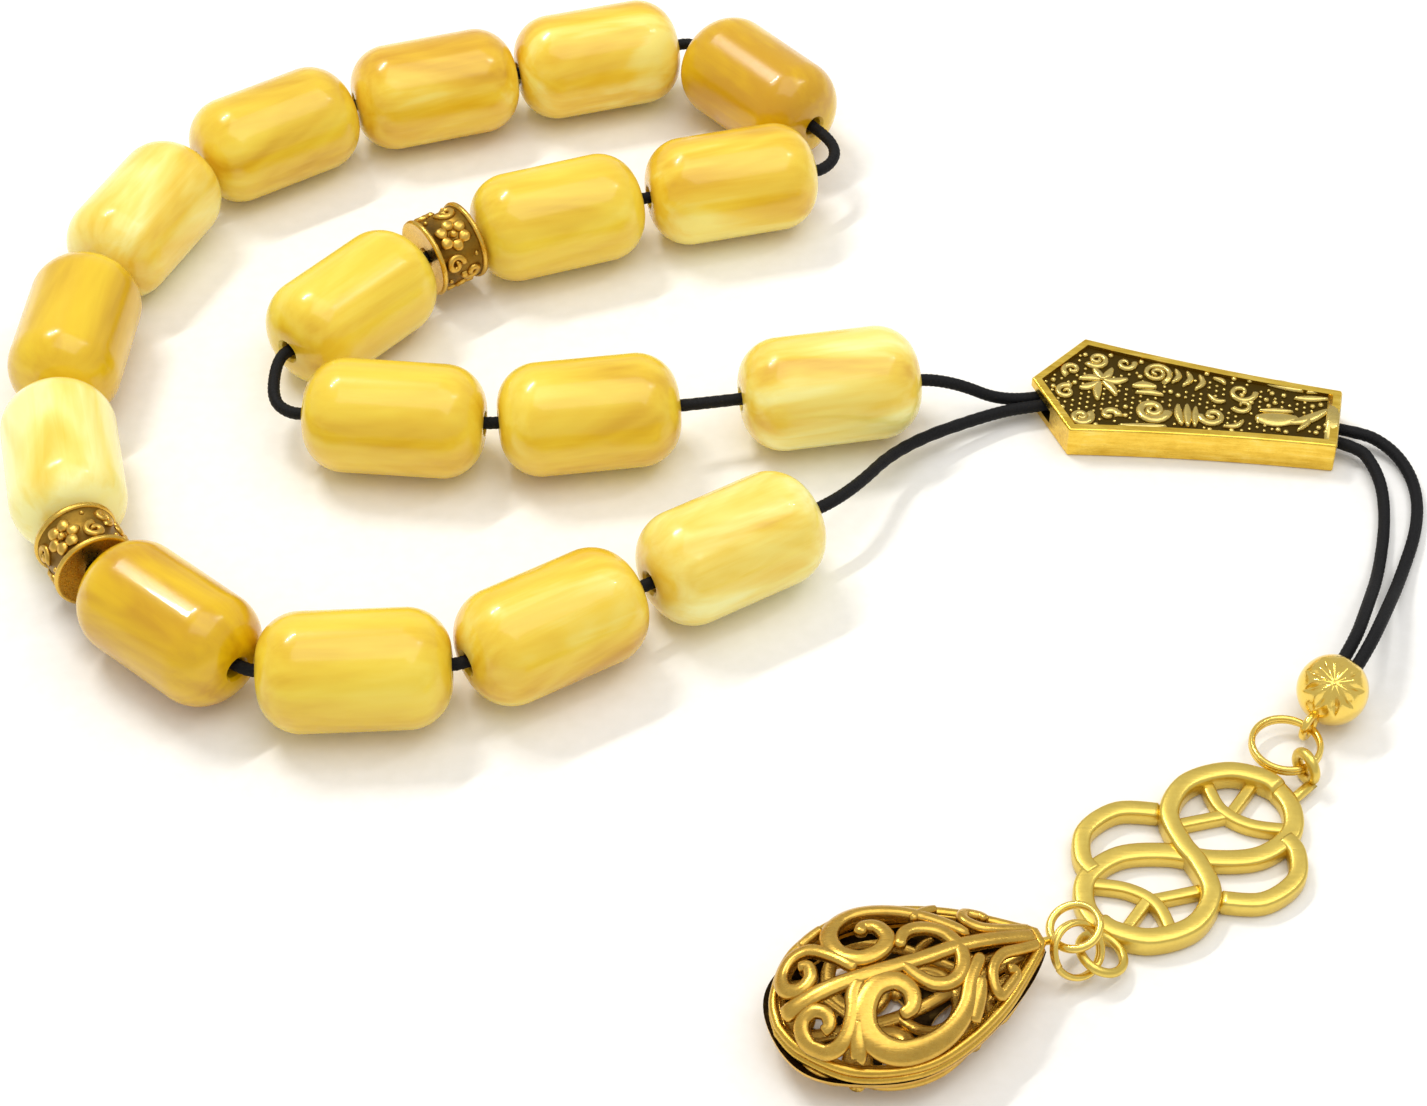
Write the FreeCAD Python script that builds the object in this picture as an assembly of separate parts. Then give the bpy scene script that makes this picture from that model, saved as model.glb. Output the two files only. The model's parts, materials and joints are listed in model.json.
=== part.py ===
"""Prayer beads laid out on a table: seventeen resin barrels and two metal spacers on one black cord.

The cord's two ends leave the last beads through a flat guard bead, and end in a knot inside a small gold
ball. From the ball hang a split ring, an interlaced link, a second split ring and a hollow filigree drop.
Millimetres, +Z up, table top at z = 0, origin under the middle of the layout.
"""
import FreeCAD, Part

import math
import os
from collections import namedtuple

from FreeCAD import Placement, Rotation, Vector

# ---------------------------------------------------------------- driving dimensions

BEAD_DIAMETER = 12.0
BEAD_LENGTH = 19.0
CORD_DIAMETER = 1.3

BEAD_RADIUS = BEAD_DIAMETER / 2
BEAD_END_DEPTH = 4.4          # length of the rounded end along the bead
BEAD_FLAT_RADIUS = 1.6        # small flat round the hole
BORE_RADIUS = 1.1             # hole through a bead or a spacer
BORE_CHAMFER = 0.3

SPACER_RADIUS = 4.4
SPACER_WIDTH = 5.8
SPACER_RIM_WIDTH = 0.8
SPACER_BAND_DEPTH = 0.35      # the ornament band lies this much below the rims
SPACER_DISH_DEPTH = 0.4       # the end faces are dished towards the hole

THREAD_HEIGHT = BEAD_RADIUS   # the string runs at this height above the table

GUARD_LENGTH = 32.6
GUARD_SHOULDER_X = 4.9        # from the pointed tip to the widest place
GUARD_SHOULDER_HALF = 7.2
GUARD_TAIL_HALF = 4.3
GUARD_WAIST = 0.4             # the long sides are hollow by this much
GUARD_THICKNESS = 3.8
GUARD_RIM = 0.9               # border left standing round the ornament field
GUARD_FIELD_DEPTH = 0.4
GUARD_EDGE_RADIUS = 0.25
GUARD_STRAND_HEIGHT = 1.85
STRAND_OFFSET = 0.75          # the two strands run side by side, this far off the middle
GUARD_SLOT_WIDTH = 3.3
GUARD_SLOT_HEIGHT = 1.7
GUARD_MOUTH_DEPTH = 7.0       # the slot opens out into a mouth at the pointed tip
GUARD_MOUTH_WIDTH = 7.4
GUARD_TAIL_MOUTH_DEPTH = 3.2  # and into a smaller one at the tail
GUARD_TAIL_MOUTH_WIDTH = 5.2

BALL_RADIUS = 3.5
BALL_CAVITY_RADIUS = 2.35
BALL_HOLE_RADIUS = 1.6
KNOT_RADIUS = 1.9
BALL_EYE_REACH = 4.4          # from the ball's centre to its eye's centre
BALL_EYE_RADIUS = 1.15
BALL_EYE_WIRE = 0.4

RING_WIRE = 0.25              # a split ring is two turns of thin wire
RING_COIL_OFFSET = 0.22
UPPER_RING_RADIUS = 3.3
LOWER_RING_RADIUS = 2.5

LINK_HALF_LENGTH = 13.3
LINK_STROKE = 2.0             # width of the link's bands
LINK_LOBE_STROKE = 1.8
LINK_INNER_STROKE = 1.3
LINK_THICKNESS = 2.0
LINK_INNER_THICKNESS = 1.5
LINK_EYE_RADIUS = 1.4
LINK_EYE_WIRE = 0.55
LINK_FOOT_RADIUS = 2.2        # the larger eye at the link's lower corner
LINK_FOOT_WIRE = 0.45

DROP_LENGTH = 26.7
DROP_HALF_WIDTH = 9.0
DROP_HALF_THICKNESS = 4.5
DROP_WALL = 1.0
DROP_NOSE = 0.8               # half width of the blunt tip
DROP_RIM_WIDTH = 1.5
DROP_RIM_HALF_HEIGHT = 0.9
DROP_EYE_RADIUS = 2.3
DROP_EYE_WIRE = 0.4

# ---------------------------------------------------------------- how the string lies

# Each stretch of touching beads starts at a place on the table; its pieces follow with the way the
# string runs through them, in degrees from +X, and the length of bare cord before the next piece.
STRETCHES = (
    ((15.7, 12.3), (("bead_01", 190, 6.5), ("bead_02", 188, 1.4), ("bead_03", 175, 0.0))),
    ((-35.5, 25.0), (("bead_04", 48, 1.1), ("spacer_1", 36, 0.95), ("bead_05", 19, 1.15),
                     ("bead_06", 14, 0.0))),
    ((8.7, 62.5), (("bead_07", 132, 3.45), ("bead_08", 196, 0.4), ("bead_09", 197, 0.75),
                   ("bead_10", 212.5, 1.45), ("bead_11", 244.5, 0.95), ("bead_12", 265, 0.8),
                   ("bead_13", 283, 0.9), ("spacer_2", 300.5, 1.05), ("bead_14", 320, 2.0),
                   ("bead_15", 3, 1.35), ("bead_16", 31, 1.6), ("bead_17", 31, 0.0))),
)

GUARD_TIP = Vector(37.4, 16.3, 0)
GUARD_HEADING = -11

BALL_CENTRE = Vector(63.8, -27.7, 3.6)
BALL_HEADING = 232            # way from the cord's hole to the eye
BALL_PITCH = 22               # and down towards the table

UPPER_RING_HEIGHT = 1.75
UPPER_RING_HEADING = 222      # from the ball's eye to the ring's centre
LINK_EYE_ON_RING = -62        # where the link's eye holds the upper ring, seen from the ring's centre
LINK_EYE_HEIGHT = 2.0

LINK_CENTRE = Vector(48.25, -46.35, 0)
LINK_HEADING = 45.4
LINK_FOOT_CENTRE = Vector(38.95, -58.3, 2.05)
LINK_FOOT_NORMAL = Vector(0.35, 0.05, 0.94)

LOWER_RING_CENTRE = Vector(36.6, -58.7, 3.1)
LOWER_RING_NORMAL = Vector(-0.43, 0.59, -0.68)

DROP_TIP = Vector(33.4, -58.6, DROP_HALF_THICKNESS + 0.1)
DROP_HEADING = 202.5
DROP_EYE_CENTRE = Vector(36.45, -56.8, 4.1)
DROP_EYE_NORMAL = Vector(-0.24, -0.12, 0.96)

# Free cord: the points its route turns at, in the order in which the string is threaded.
CORD_BALL_TO_GUARD = (
    Vector(70.3, -17.8, 4.0), Vector(73.2, -10.6, 1.0), Vector(76.3, -2.6, 0.7), Vector(76.9, 3.6, 0.7),
    Vector(75.0, 8.2, 1.3),
)
CORD_GUARD_TO_BEAD_01 = (Vector(34.6, 14.6, 1.7), Vector(29.0, 14.3, 5.0))
CORD_BEAD_03_TO_BEAD_04 = (Vector(-40.7, 8.6, 5.8), Vector(-42.9, 11.0, 5.5), Vector(-42.9, 16.9, 5.8))
CORD_BEAD_06_TO_BEAD_07 = (Vector(15.7, 47.9, 5.9), Vector(17.3, 50.1, 5.8), Vector(17.1, 52.8, 5.9))
CORD_BEAD_07_TO_BEAD_08 = (Vector(1.0, 71.1, 6.0),)
CORD_BEAD_17_TO_GUARD = (
    Vector(17.6, -2.9, 6.0), Vector(23.0, 6.6, 3.2), Vector(33.4, 12.9, 1.9), Vector(37.8, 13.9, 1.85),
)
CORD_GUARD_TO_BALL = (
    Vector(73.2, 4.6, 1.1), Vector(73.1, -1.4, 0.7), Vector(71.2, -9.6, 1.0), Vector(68.6, -17.0, 4.0),
)

THREAD_INSET = 0.9            # the cord may start to turn this far inside a bead's or spacer's hole
GUARD_TIP_INSET = 4.4         # and this far inside the guard bead's mouth
GUARD_TAIL_REACH = 1.6        # past the guard bead's other end both strands run straight this far
BALL_REACH = 1.6              # and this far from the ball
ARC_SHARE = 0.45              # each bend takes this share of its shorter run
SMALLEST_TURN = 0.3           # degrees

Z_AXIS = Vector(0, 0, 1)
Place = namedtuple("Place", "centre direction half_length")


def along(degrees):
    """Unit vector on the table, turned that many degrees from +X."""
    return Vector(math.cos(math.radians(degrees)), math.sin(math.radians(degrees)), 0)


def half_length(name):
    return (BEAD_LENGTH if name.startswith("bead") else SPACER_WIDTH) / 2


def lay_out_string():
    """Walks along each stretch and returns {name: Place}, in threading order."""
    places = {}
    for (x, y), pieces in STRETCHES:
        end = None
        for name, heading, gap_after in pieces:
            direction = along(heading)
            half = half_length(name)
            if end is None:
                centre = Vector(x, y, THREAD_HEIGHT)
            else:
                mean = (last_direction + direction).normalize()
                centre = end + mean * gap + direction * half
            places[name] = Place(centre, direction, half)
            end = centre + direction * half
            last_direction = direction
            gap = gap_after
    return places


def stand_along(shape, centre, direction):
    """Turns a shape made along +X to lie along direction, and moves its middle to centre."""
    placed = shape.copy()
    placed.Placement = Placement(centre, Rotation(Vector(1, 0, 0), direction))
    return placed


def revolved(edges, axis=Vector(1, 0, 0)):
    return Part.Face(Part.Wire(edges)).revolve(Vector(), axis, 360)


def line(x1, y1, x2, y2):
    return Part.LineSegment(Vector(x1, y1, 0), Vector(x2, y2, 0)).toShape()


def torus(centre, normal, radius, wire):
    return Part.makeTorus(radius, wire, centre, normal)


# ---------------------------------------------------------------- beads and spacers


def rounded_end(side):
    """The quarter ellipse at one end of a bead's profile; side is 1 or -1."""
    middle = Vector(side * (BEAD_LENGTH / 2 - BEAD_END_DEPTH), BEAD_FLAT_RADIUS, 0)
    rim = Vector(middle.x, BEAD_RADIUS, 0)
    tip = Vector(side * BEAD_LENGTH / 2, BEAD_FLAT_RADIUS, 0)
    return Part.ArcOfEllipse(Part.Ellipse(rim, tip, middle), 0, math.pi / 2).toShape()


def bead():
    """A barrel with a straight middle, elliptical ends and a chamfered hole."""
    end = BEAD_LENGTH / 2
    straight = end - BEAD_END_DEPTH
    mouth = BORE_RADIUS + BORE_CHAMFER
    inner = end - BORE_CHAMFER
    return revolved([
        line(-straight, BEAD_RADIUS, straight, BEAD_RADIUS),
        rounded_end(1),
        line(end, BEAD_FLAT_RADIUS, end, mouth),
        line(end, mouth, inner, BORE_RADIUS),
        line(inner, BORE_RADIUS, -inner, BORE_RADIUS),
        line(-inner, BORE_RADIUS, -end, mouth),
        line(-end, mouth, -end, BEAD_FLAT_RADIUS),
        rounded_end(-1),
    ])


def spacer():
    """A drum with two raised rims, a sunk ornament band and dished ends."""
    end = SPACER_WIDTH / 2
    hub = end - SPACER_DISH_DEPTH
    band = end - SPACER_RIM_WIDTH
    floor = SPACER_RADIUS - SPACER_BAND_DEPTH
    lip = SPACER_RADIUS - SPACER_RIM_WIDTH
    outline = [
        (-hub, BORE_RADIUS), (hub, BORE_RADIUS), (end, lip), (end, SPACER_RADIUS), (band, SPACER_RADIUS),
        (band, floor), (-band, floor), (-band, SPACER_RADIUS), (-end, SPACER_RADIUS), (-end, lip),
    ]
    return revolved([line(*a, *b) for a, b in zip(outline, outline[1:] + outline[:1])])


# ---------------------------------------------------------------- guard bead


def guard_outline():
    """The pointed wedge, tip at the origin, tail along +X, long sides slightly hollow."""
    tip = Vector(0, 0, 0)
    corners = {}
    sides = {}
    for side in (1, -1):
        shoulder = Vector(GUARD_SHOULDER_X, side * GUARD_SHOULDER_HALF, 0)
        tail = Vector(GUARD_LENGTH, side * GUARD_TAIL_HALF, 0)
        waist = (shoulder + tail) * 0.5 - Vector(0, side * GUARD_WAIST, 0)
        corners[side] = (shoulder, tail)
        sides[side] = Part.Arc(shoulder, waist, tail).toShape()
    return Part.Wire([
        Part.LineSegment(tip, corners[1][0]).toShape(),
        sides[1],
        Part.LineSegment(corners[1][1], corners[-1][1]).toShape(),
        sides[-1],
        Part.LineSegment(corners[-1][0], tip).toShape(),
    ])


def guard_bead():
    """The flat cast guard bead: sunk field inside a rim, and a slot for both strands of cord."""
    outline = guard_outline()
    body = Part.Face(outline).extrude(Z_AXIS * GUARD_THICKNESS)
    body = body.makeFillet(GUARD_EDGE_RADIUS, body.Edges)
    field = Part.Face(outline.makeOffset2D(-GUARD_RIM, 2))
    field.translate(Z_AXIS * (GUARD_THICKNESS - GUARD_FIELD_DEPTH))
    body = body.cut(field.extrude(Z_AXIS * GUARD_THICKNESS))
    low = GUARD_STRAND_HEIGHT - GUARD_SLOT_HEIGHT / 2
    past_end = 1.0
    slot = Part.makeBox(
        GUARD_LENGTH + 2 * past_end, GUARD_SLOT_WIDTH, GUARD_SLOT_HEIGHT,
        Vector(-past_end, -GUARD_SLOT_WIDTH / 2, low))
    mouth = Part.makeBox(
        GUARD_MOUTH_DEPTH + past_end, GUARD_MOUTH_WIDTH, GUARD_SLOT_HEIGHT,
        Vector(-past_end, -GUARD_MOUTH_WIDTH / 2, low))
    tail_mouth = Part.makeBox(
        GUARD_TAIL_MOUTH_DEPTH + past_end, GUARD_TAIL_MOUTH_WIDTH, GUARD_SLOT_HEIGHT,
        Vector(GUARD_LENGTH - GUARD_TAIL_MOUTH_DEPTH, -GUARD_TAIL_MOUTH_WIDTH / 2, low))
    body = body.cut(slot).cut(mouth).cut(tail_mouth)
    body.Placement = Placement(GUARD_TIP, Rotation(Z_AXIS, GUARD_HEADING))
    return body


def guard_strand_points(side):
    """Where a strand turns at the guard bead: inside its mouth first, then past its tail."""
    turn = Rotation(Z_AXIS, GUARD_HEADING)
    return [
        GUARD_TIP + turn.multVec(Vector(x, side * STRAND_OFFSET, GUARD_STRAND_HEIGHT))
        for x in (GUARD_TIP_INSET, GUARD_LENGTH + GUARD_TAIL_REACH)
    ]


# ---------------------------------------------------------------- ball, knot and rings


def ball_axis():
    """From the cord's hole, through the ball, to its eye."""
    pitch = math.radians(BALL_PITCH)
    return along(BALL_HEADING) * math.cos(pitch) - Z_AXIS * math.sin(pitch)


def ball_eye_centre():
    return BALL_CENTRE + ball_axis() * BALL_EYE_REACH


def ball():
    """A hollow ball with a hole for the two strands and an upright eye on the far side."""
    axis = ball_axis()
    across = Z_AXIS.cross(axis).normalize()
    eye = torus(ball_eye_centre(), across, BALL_EYE_RADIUS, BALL_EYE_WIRE)
    hole = Part.makeCylinder(BALL_HOLE_RADIUS, BALL_RADIUS, BALL_CENTRE, -axis)
    shell = Part.makeSphere(BALL_RADIUS, BALL_CENTRE).fuse(eye)
    return shell.cut(Part.makeSphere(BALL_CAVITY_RADIUS, BALL_CENTRE)).cut(hole)


def knot():
    return Part.makeSphere(KNOT_RADIUS, BALL_CENTRE)


def ball_strand_points(side):
    """A strand's end in the knot, and the point just outside the ball that it comes in from."""
    axis = ball_axis()
    sideways = axis.cross(Z_AXIS).normalize() * (side * STRAND_OFFSET)
    inside = BALL_CENTRE - axis * (KNOT_RADIUS / 2)
    outside = BALL_CENTRE - axis * (BALL_RADIUS + BALL_REACH)
    return [inside + sideways, outside + sideways]


def split_ring(centre, normal, radius):
    """Two turns of wire lying on each other."""
    offset = Vector(normal).normalize() * RING_COIL_OFFSET
    coils = [torus(centre + offset * side, normal, radius, RING_WIRE) for side in (1, -1)]
    return coils[0].fuse(coils[1])


def upper_ring_centre():
    flat = ball_eye_centre()
    flat.z = UPPER_RING_HEIGHT
    return flat + along(UPPER_RING_HEADING) * UPPER_RING_RADIUS


# ---------------------------------------------------------------- interlaced link


def band(points, width, thickness):
    """A flat band of even width whose middle runs smoothly through the points."""
    middle = Part.BSplineCurve()
    middle.interpolate([Vector(x, y, 0) for x, y in points])
    first = middle.FirstParameter
    last = middle.LastParameter
    steps = 2 * len(points)
    edges = []
    for side in (1, -1):
        rail = []
        for i in range(steps + 1):
            t = first + (last - first) * i / steps
            normal = Z_AXIS.cross(middle.tangent(t)[0]).normalize()
            rail.append(middle.value(t) + normal * (side * width / 2))
        curve = Part.BSplineCurve()
        curve.interpolate(rail)
        edges.append(curve.toShape())
        if side == 1:
            head, tail = rail[0], rail[-1]
        else:
            edges.append(Part.LineSegment(head, rail[0]).toShape())
            edges.append(Part.LineSegment(tail, rail[-1]).toShape())
    outline = Part.Wire(Part.__sortEdges__(edges))
    return Part.Face(outline).extrude(Z_AXIS * thickness)


# Half of the link's bands, from its centre: the other half is these turned half round.
LINK_CORNER = (LINK_HALF_LENGTH - 1.2, 0.0)
LINK_NECK_ROOT = (11.5, -2.6)
LINK_FRONT_BAND = (LINK_CORNER, (10.4, 3.9), (6.3, 5.6), (2.4, 4.5), (0.4, 1.3))
LINK_BACK_BAND = (LINK_CORNER, (11.5, -3.2), (8.6, -5.2), (4.6, -4.7), (1.2, -1.8))
LINK_LOBE = ((2.2, 5.2), (-0.6, 8.3), (-4.6, 8.9), (-7.2, 6.4))
LINK_CRESCENT = ((8.4, 4.9), (6.6, 1.6), (7.0, -1.6), (9.2, -4.8))
LINK_SPUR = ((11.8, 1.4), (9.2, 0.9), (6.4, 0.4))
LINK_TIE = ((6.9, 0.4), (4.5, 1.9), (2.2, 3.3))


def mirrored(points):
    """The same points turned half round the link's centre."""
    return tuple((-x, -y) for x, y in points)


def through(points):
    """A band's points carried on through the centre to the matching place on the other half."""
    return points + tuple(reversed(mirrored(points)))


def link():
    """The interlaced link with an upright eye at its upper corner and a larger one at its foot."""
    bands = [
        band(through(LINK_FRONT_BAND), LINK_STROKE, LINK_THICKNESS),
        band(through(LINK_BACK_BAND), LINK_STROKE, LINK_THICKNESS),
    ]
    for turn in (tuple, mirrored):
        bands.append(band(turn(LINK_LOBE), LINK_LOBE_STROKE, LINK_THICKNESS))
        for points in (LINK_CRESCENT, LINK_SPUR, LINK_TIE):
            bands.append(band(turn(points), LINK_INNER_STROKE, LINK_INNER_THICKNESS))
    body = bands[0].multiFuse(bands[1:])
    body.Placement = Placement(LINK_CENTRE, Rotation(Z_AXIS, LINK_HEADING))
    return body.multiFuse([upper_eye(), upper_eye_neck(), foot_eye()]).removeSplitter()


def upper_eye_centre():
    ring = upper_ring_centre()
    held = ring + along(LINK_EYE_ON_RING) * UPPER_RING_RADIUS
    held.z = LINK_EYE_HEIGHT
    return held


def upper_eye():
    """Upright eye that holds the upper ring, in the plane of that ring's radius."""
    tangent = along(LINK_EYE_ON_RING + 90)
    return torus(upper_eye_centre(), tangent, LINK_EYE_RADIUS, LINK_EYE_WIRE)


def upper_eye_neck():
    """Short bar that joins the upright eye to the link's corner."""
    start = upper_eye_centre() + along(LINK_EYE_ON_RING) * LINK_EYE_RADIUS
    start.z = LINK_THICKNESS / 2
    root = Vector(*LINK_NECK_ROOT, LINK_THICKNESS / 2)
    end = LINK_CENTRE + Rotation(Z_AXIS, LINK_HEADING).multVec(root)
    reach = end - start
    return Part.makeCylinder(LINK_EYE_WIRE, reach.Length, start, reach)


def foot_eye():
    """Larger eye at the link's foot, tipped up towards the drop, with a short neck."""
    corner = LINK_CENTRE - along(LINK_HEADING) * (LINK_HALF_LENGTH - 1)
    corner.z = LINK_THICKNESS / 2
    inward = corner - LINK_FOOT_CENTRE
    inward.z = 0
    start = LINK_FOOT_CENTRE + inward.normalize() * LINK_FOOT_RADIUS
    reach = corner - start
    neck = Part.makeCylinder(LINK_FOOT_WIRE, reach.Length, start, reach)
    return torus(LINK_FOOT_CENTRE, LINK_FOOT_NORMAL, LINK_FOOT_RADIUS, LINK_FOOT_WIRE).fuse(neck)


# ---------------------------------------------------------------- filigree drop

# How the drop swells: shares of its length and of its half width.
DROP_SWELL = ((0.22, 0.62), (0.43, 0.91), (0.62, 1.0), (0.83, 0.80))
DROP_NOSE_TANGENT = Vector(1, 1.2, 0)
DROP_SMALLEST_NOSE = 0.2
DROP_STEM_DROP = 0.9          # the eye's stem meets the eye this much below the tip's height
DROP_STEM_ROOT = 1.2          # and ends this far inside the seam band


def drop_edge(inset):
    """One side of the drop's outline, from its blunt tip at x = 0 to its round end, moved in by inset."""
    length = DROP_LENGTH - inset
    half = DROP_HALF_WIDTH - inset
    points = [Vector(inset, max(DROP_NOSE - inset, DROP_SMALLEST_NOSE), 0)]
    points += [Vector(x * DROP_LENGTH, y * half, 0) for x, y in DROP_SWELL]
    points.append(Vector(length, 0, 0))
    edge = Part.BSplineCurve()
    edge.interpolate(Points=points, InitialTangent=DROP_NOSE_TANGENT, FinalTangent=Vector(0, -1, 0))
    return points[0], points[-1], edge.toShape()


def drop_band_face():
    """The strip of plan, on one side of the drop's axis, between its outline and its inside."""
    nose, end, edge = drop_edge(0)
    inner_nose, inner_end, inner_edge = drop_edge(DROP_WALL)
    foot = Vector(nose.x, 0, 0)
    inner_foot = Vector(inner_nose.x, 0, 0)
    return Part.Face(Part.Wire([
        edge,
        Part.LineSegment(end, inner_end).toShape(),
        inner_edge,
        Part.LineSegment(inner_nose, inner_foot).toShape(),
        Part.LineSegment(inner_foot, foot).toShape(),
        Part.LineSegment(foot, nose).toShape(),
    ]))


def drop_half_shell(side):
    """The strip swung half round the axis, flattened and set on its side of the seam band."""
    swung = drop_band_face().revolve(Vector(), Vector(side, 0, 0), 180)
    flatten = FreeCAD.Matrix()
    flatten.scale(1, 1, (DROP_HALF_THICKNESS - DROP_RIM_HALF_HEIGHT) / DROP_HALF_WIDTH)
    shell = swung.transformGeometry(flatten)
    shell.translate(Z_AXIS * (side * DROP_RIM_HALF_HEIGHT))
    return shell


def drop_plan(inset):
    """The whole outline as one face."""
    nose, end, edge = drop_edge(inset)
    other = edge.mirror(Vector(), Vector(0, 1, 0))
    closing = Part.LineSegment(Vector(nose.x, -nose.y, 0), nose).toShape()
    return Part.Face(Part.Wire([edge, other, closing]))


def placed_drop(shape):
    shape.Placement = Placement(DROP_TIP, Rotation(Z_AXIS, DROP_HEADING)).multiply(shape.Placement)
    return shape


# Openings between the scrolls: middle, radii along and across the drop, and turn in degrees.
DROP_OPENINGS = (
    (5.6, -1.3, 2.1, 1.0, -20),
    (9.6, 2.6, 2.9, 1.5, 15),
    (10.2, -3.4, 2.2, 1.6, -25),
    (15.0, -0.4, 1.7, 2.0, 0),
    (15.6, 5.0, 2.6, 1.3, 5),
    (16.6, -5.0, 2.4, 1.3, -10),
    (20.4, 2.6, 1.8, 1.8, 0),
    (21.0, -2.6, 1.9, 1.6, 20),
)


def drop_opening(x, y, along_radius, across_radius, turn):
    """An oval cutter through the whole thickness."""
    if across_radius > along_radius:
        along_radius, across_radius, turn = across_radius, along_radius, turn + 90
    oval = Part.Ellipse(Vector(), along_radius, across_radius).toShape()
    cutter = Part.Face(Part.Wire(oval)).extrude(Z_AXIS * 4 * DROP_HALF_THICKNESS)
    cutter.translate(Z_AXIS * (-2 * DROP_HALF_THICKNESS))
    cutter.Placement = Placement(Vector(x, y, 0), Rotation(Z_AXIS, turn)).multiply(cutter.Placement)
    return cutter


def drop_half(side):
    """One pierced shell of the drop; side is 1 for the upper one."""
    cutters = [drop_opening(*opening) for opening in DROP_OPENINGS]
    return placed_drop(drop_half_shell(side).cut(cutters))


def drop_rim():
    """The seam band between the two shells, with room for the eye's stem in its tip."""
    height = Z_AXIS * (2 * DROP_RIM_HALF_HEIGHT)
    band = drop_plan(0).extrude(height).cut(drop_plan(DROP_RIM_WIDTH).extrude(height))
    band.translate(Z_AXIS * -DROP_RIM_HALF_HEIGHT)
    return placed_drop(band).cut(drop_bail())


def drop_bail():
    """The eye that the lower ring holds, on a short stem set into the drop's tip."""
    inward = DROP_TIP - DROP_EYE_CENTRE
    inward.z = 0
    start = DROP_EYE_CENTRE + inward.normalize() * DROP_EYE_RADIUS
    start.z = DROP_TIP.z - DROP_STEM_DROP
    root = DROP_TIP + along(DROP_HEADING) * DROP_STEM_ROOT
    reach = root - start
    stem = Part.makeCylinder(DROP_EYE_WIRE, reach.Length, start, reach)
    return torus(DROP_EYE_CENTRE, DROP_EYE_NORMAL, DROP_EYE_RADIUS, DROP_EYE_WIRE).fuse(stem)


# ---------------------------------------------------------------- cord


def bead_points(places, names):
    """Where the cord may turn inside the first and last hole of each named piece."""
    points = []
    for name in names:
        place = places[name]
        reach = place.direction * (place.half_length - THREAD_INSET)
        points += [place.centre - reach, place.centre + reach]
    return points


def cord_points(places):
    """Every point the cord's route turns at, from one end in the knot to the other."""
    names = list(places)
    turn_a = names.index("bead_04")
    turn_b = names.index("bead_07")
    turn_c = names.index("bead_08")
    to_guard = guard_strand_points(1)
    from_guard = guard_strand_points(-1)
    return (
        ball_strand_points(-1)
        + list(CORD_BALL_TO_GUARD)
        + [to_guard[1], to_guard[0]]
        + list(CORD_GUARD_TO_BEAD_01)
        + bead_points(places, names[:turn_a])
        + list(CORD_BEAD_03_TO_BEAD_04)
        + bead_points(places, names[turn_a:turn_b])
        + list(CORD_BEAD_06_TO_BEAD_07)
        + bead_points(places, names[turn_b:turn_c])
        + list(CORD_BEAD_07_TO_BEAD_08)
        + bead_points(places, names[turn_c:])
        + list(CORD_BEAD_17_TO_GUARD)
        + from_guard
        + list(CORD_GUARD_TO_BALL)
        + list(reversed(ball_strand_points(1)))
    )


def turning_points(points):
    """Leaves out the points that the route runs straight through."""
    kept = [points[0]]
    for point, following in zip(points[1:], points[2:]):
        turn = (point - kept[-1]).getAngle(following - point)
        if math.degrees(turn) > SMALLEST_TURN:
            kept.append(point)
    return kept + [points[-1]]


def cord_route(points):
    """Straight runs joined by tangent arcs; returns the edges and each bend's radius."""
    edges = []
    radii = []
    start = points[0]
    for before, corner, after in zip(points, points[1:], points[2:]):
        way_in = corner - before
        way_out = after - corner
        trim = ARC_SHARE * min(way_in.Length, way_out.Length)
        half_turn = way_in.getAngle(way_out) / 2
        radius = trim / math.tan(half_turn)
        way_in.normalize()
        way_out.normalize()
        inward = (way_out - way_in).normalize()
        middle = corner + inward * (radius / math.cos(half_turn) - radius)
        arc_start = corner - way_in * trim
        arc_end = corner + way_out * trim
        edges.append(Part.LineSegment(start, arc_start).toShape())
        edges.append(Part.Arc(arc_start, middle, arc_end).toShape())
        radii.append(radius)
        start = arc_end
    edges.append(Part.LineSegment(start, points[-1]).toShape())
    return edges, radii


def cord(places):
    """The whole cord, from knot to knot."""
    points = turning_points(cord_points(places))
    edges, radii = cord_route(points)
    route = Part.Wire(edges)
    way = points[1] - points[0]
    section = Part.Wire(Part.makeCircle(CORD_DIAMETER / 2, points[0], way))
    tube = route.makePipeShell([section], True, False)
    full = math.pi * (CORD_DIAMETER / 2) ** 2 * route.Length
    print("cord length", round(route.Length, 1), "volume share", round(tube.Volume / full, 4))
    print("cord bend radii", sorted(round(radius, 1) for radius in radii))
    return tube


# ---------------------------------------------------------------- the whole part


def build():
    places = lay_out_string()
    nodes = {}
    one_bead = bead()
    one_spacer = spacer()
    for name, place in places.items():
        shape = one_bead if name.startswith("bead") else one_spacer
        nodes[name] = stand_along(shape, place.centre, place.direction)
    nodes["guard_bead"] = guard_bead()
    nodes["ball"] = ball()
    nodes["cord_knot"] = knot()
    nodes["cord"] = cord(places)
    nodes["ring_upper"] = split_ring(upper_ring_centre(), Z_AXIS, UPPER_RING_RADIUS)
    nodes["link"] = link()
    nodes["ring_lower"] = split_ring(LOWER_RING_CENTRE, LOWER_RING_NORMAL, LOWER_RING_RADIUS)
    nodes["drop_bail"] = drop_bail()
    nodes["drop_rim"] = drop_rim()
    nodes["drop_front"] = drop_half(1)
    nodes["drop_back"] = drop_half(-1)
    return nodes


os.makedirs("parts", exist_ok=True)
for node, shape in build().items():
    shape.exportStep("parts/" + node + ".step")
    box = shape.BoundBox
    print(node, shape.ShapeType, len(shape.Solids), shape.isValid(), round(shape.Volume, 1),
          [round(v, 1) for v in (box.XMin, box.XMax, box.YMin, box.YMax, box.ZMin, box.ZMax)])
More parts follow.
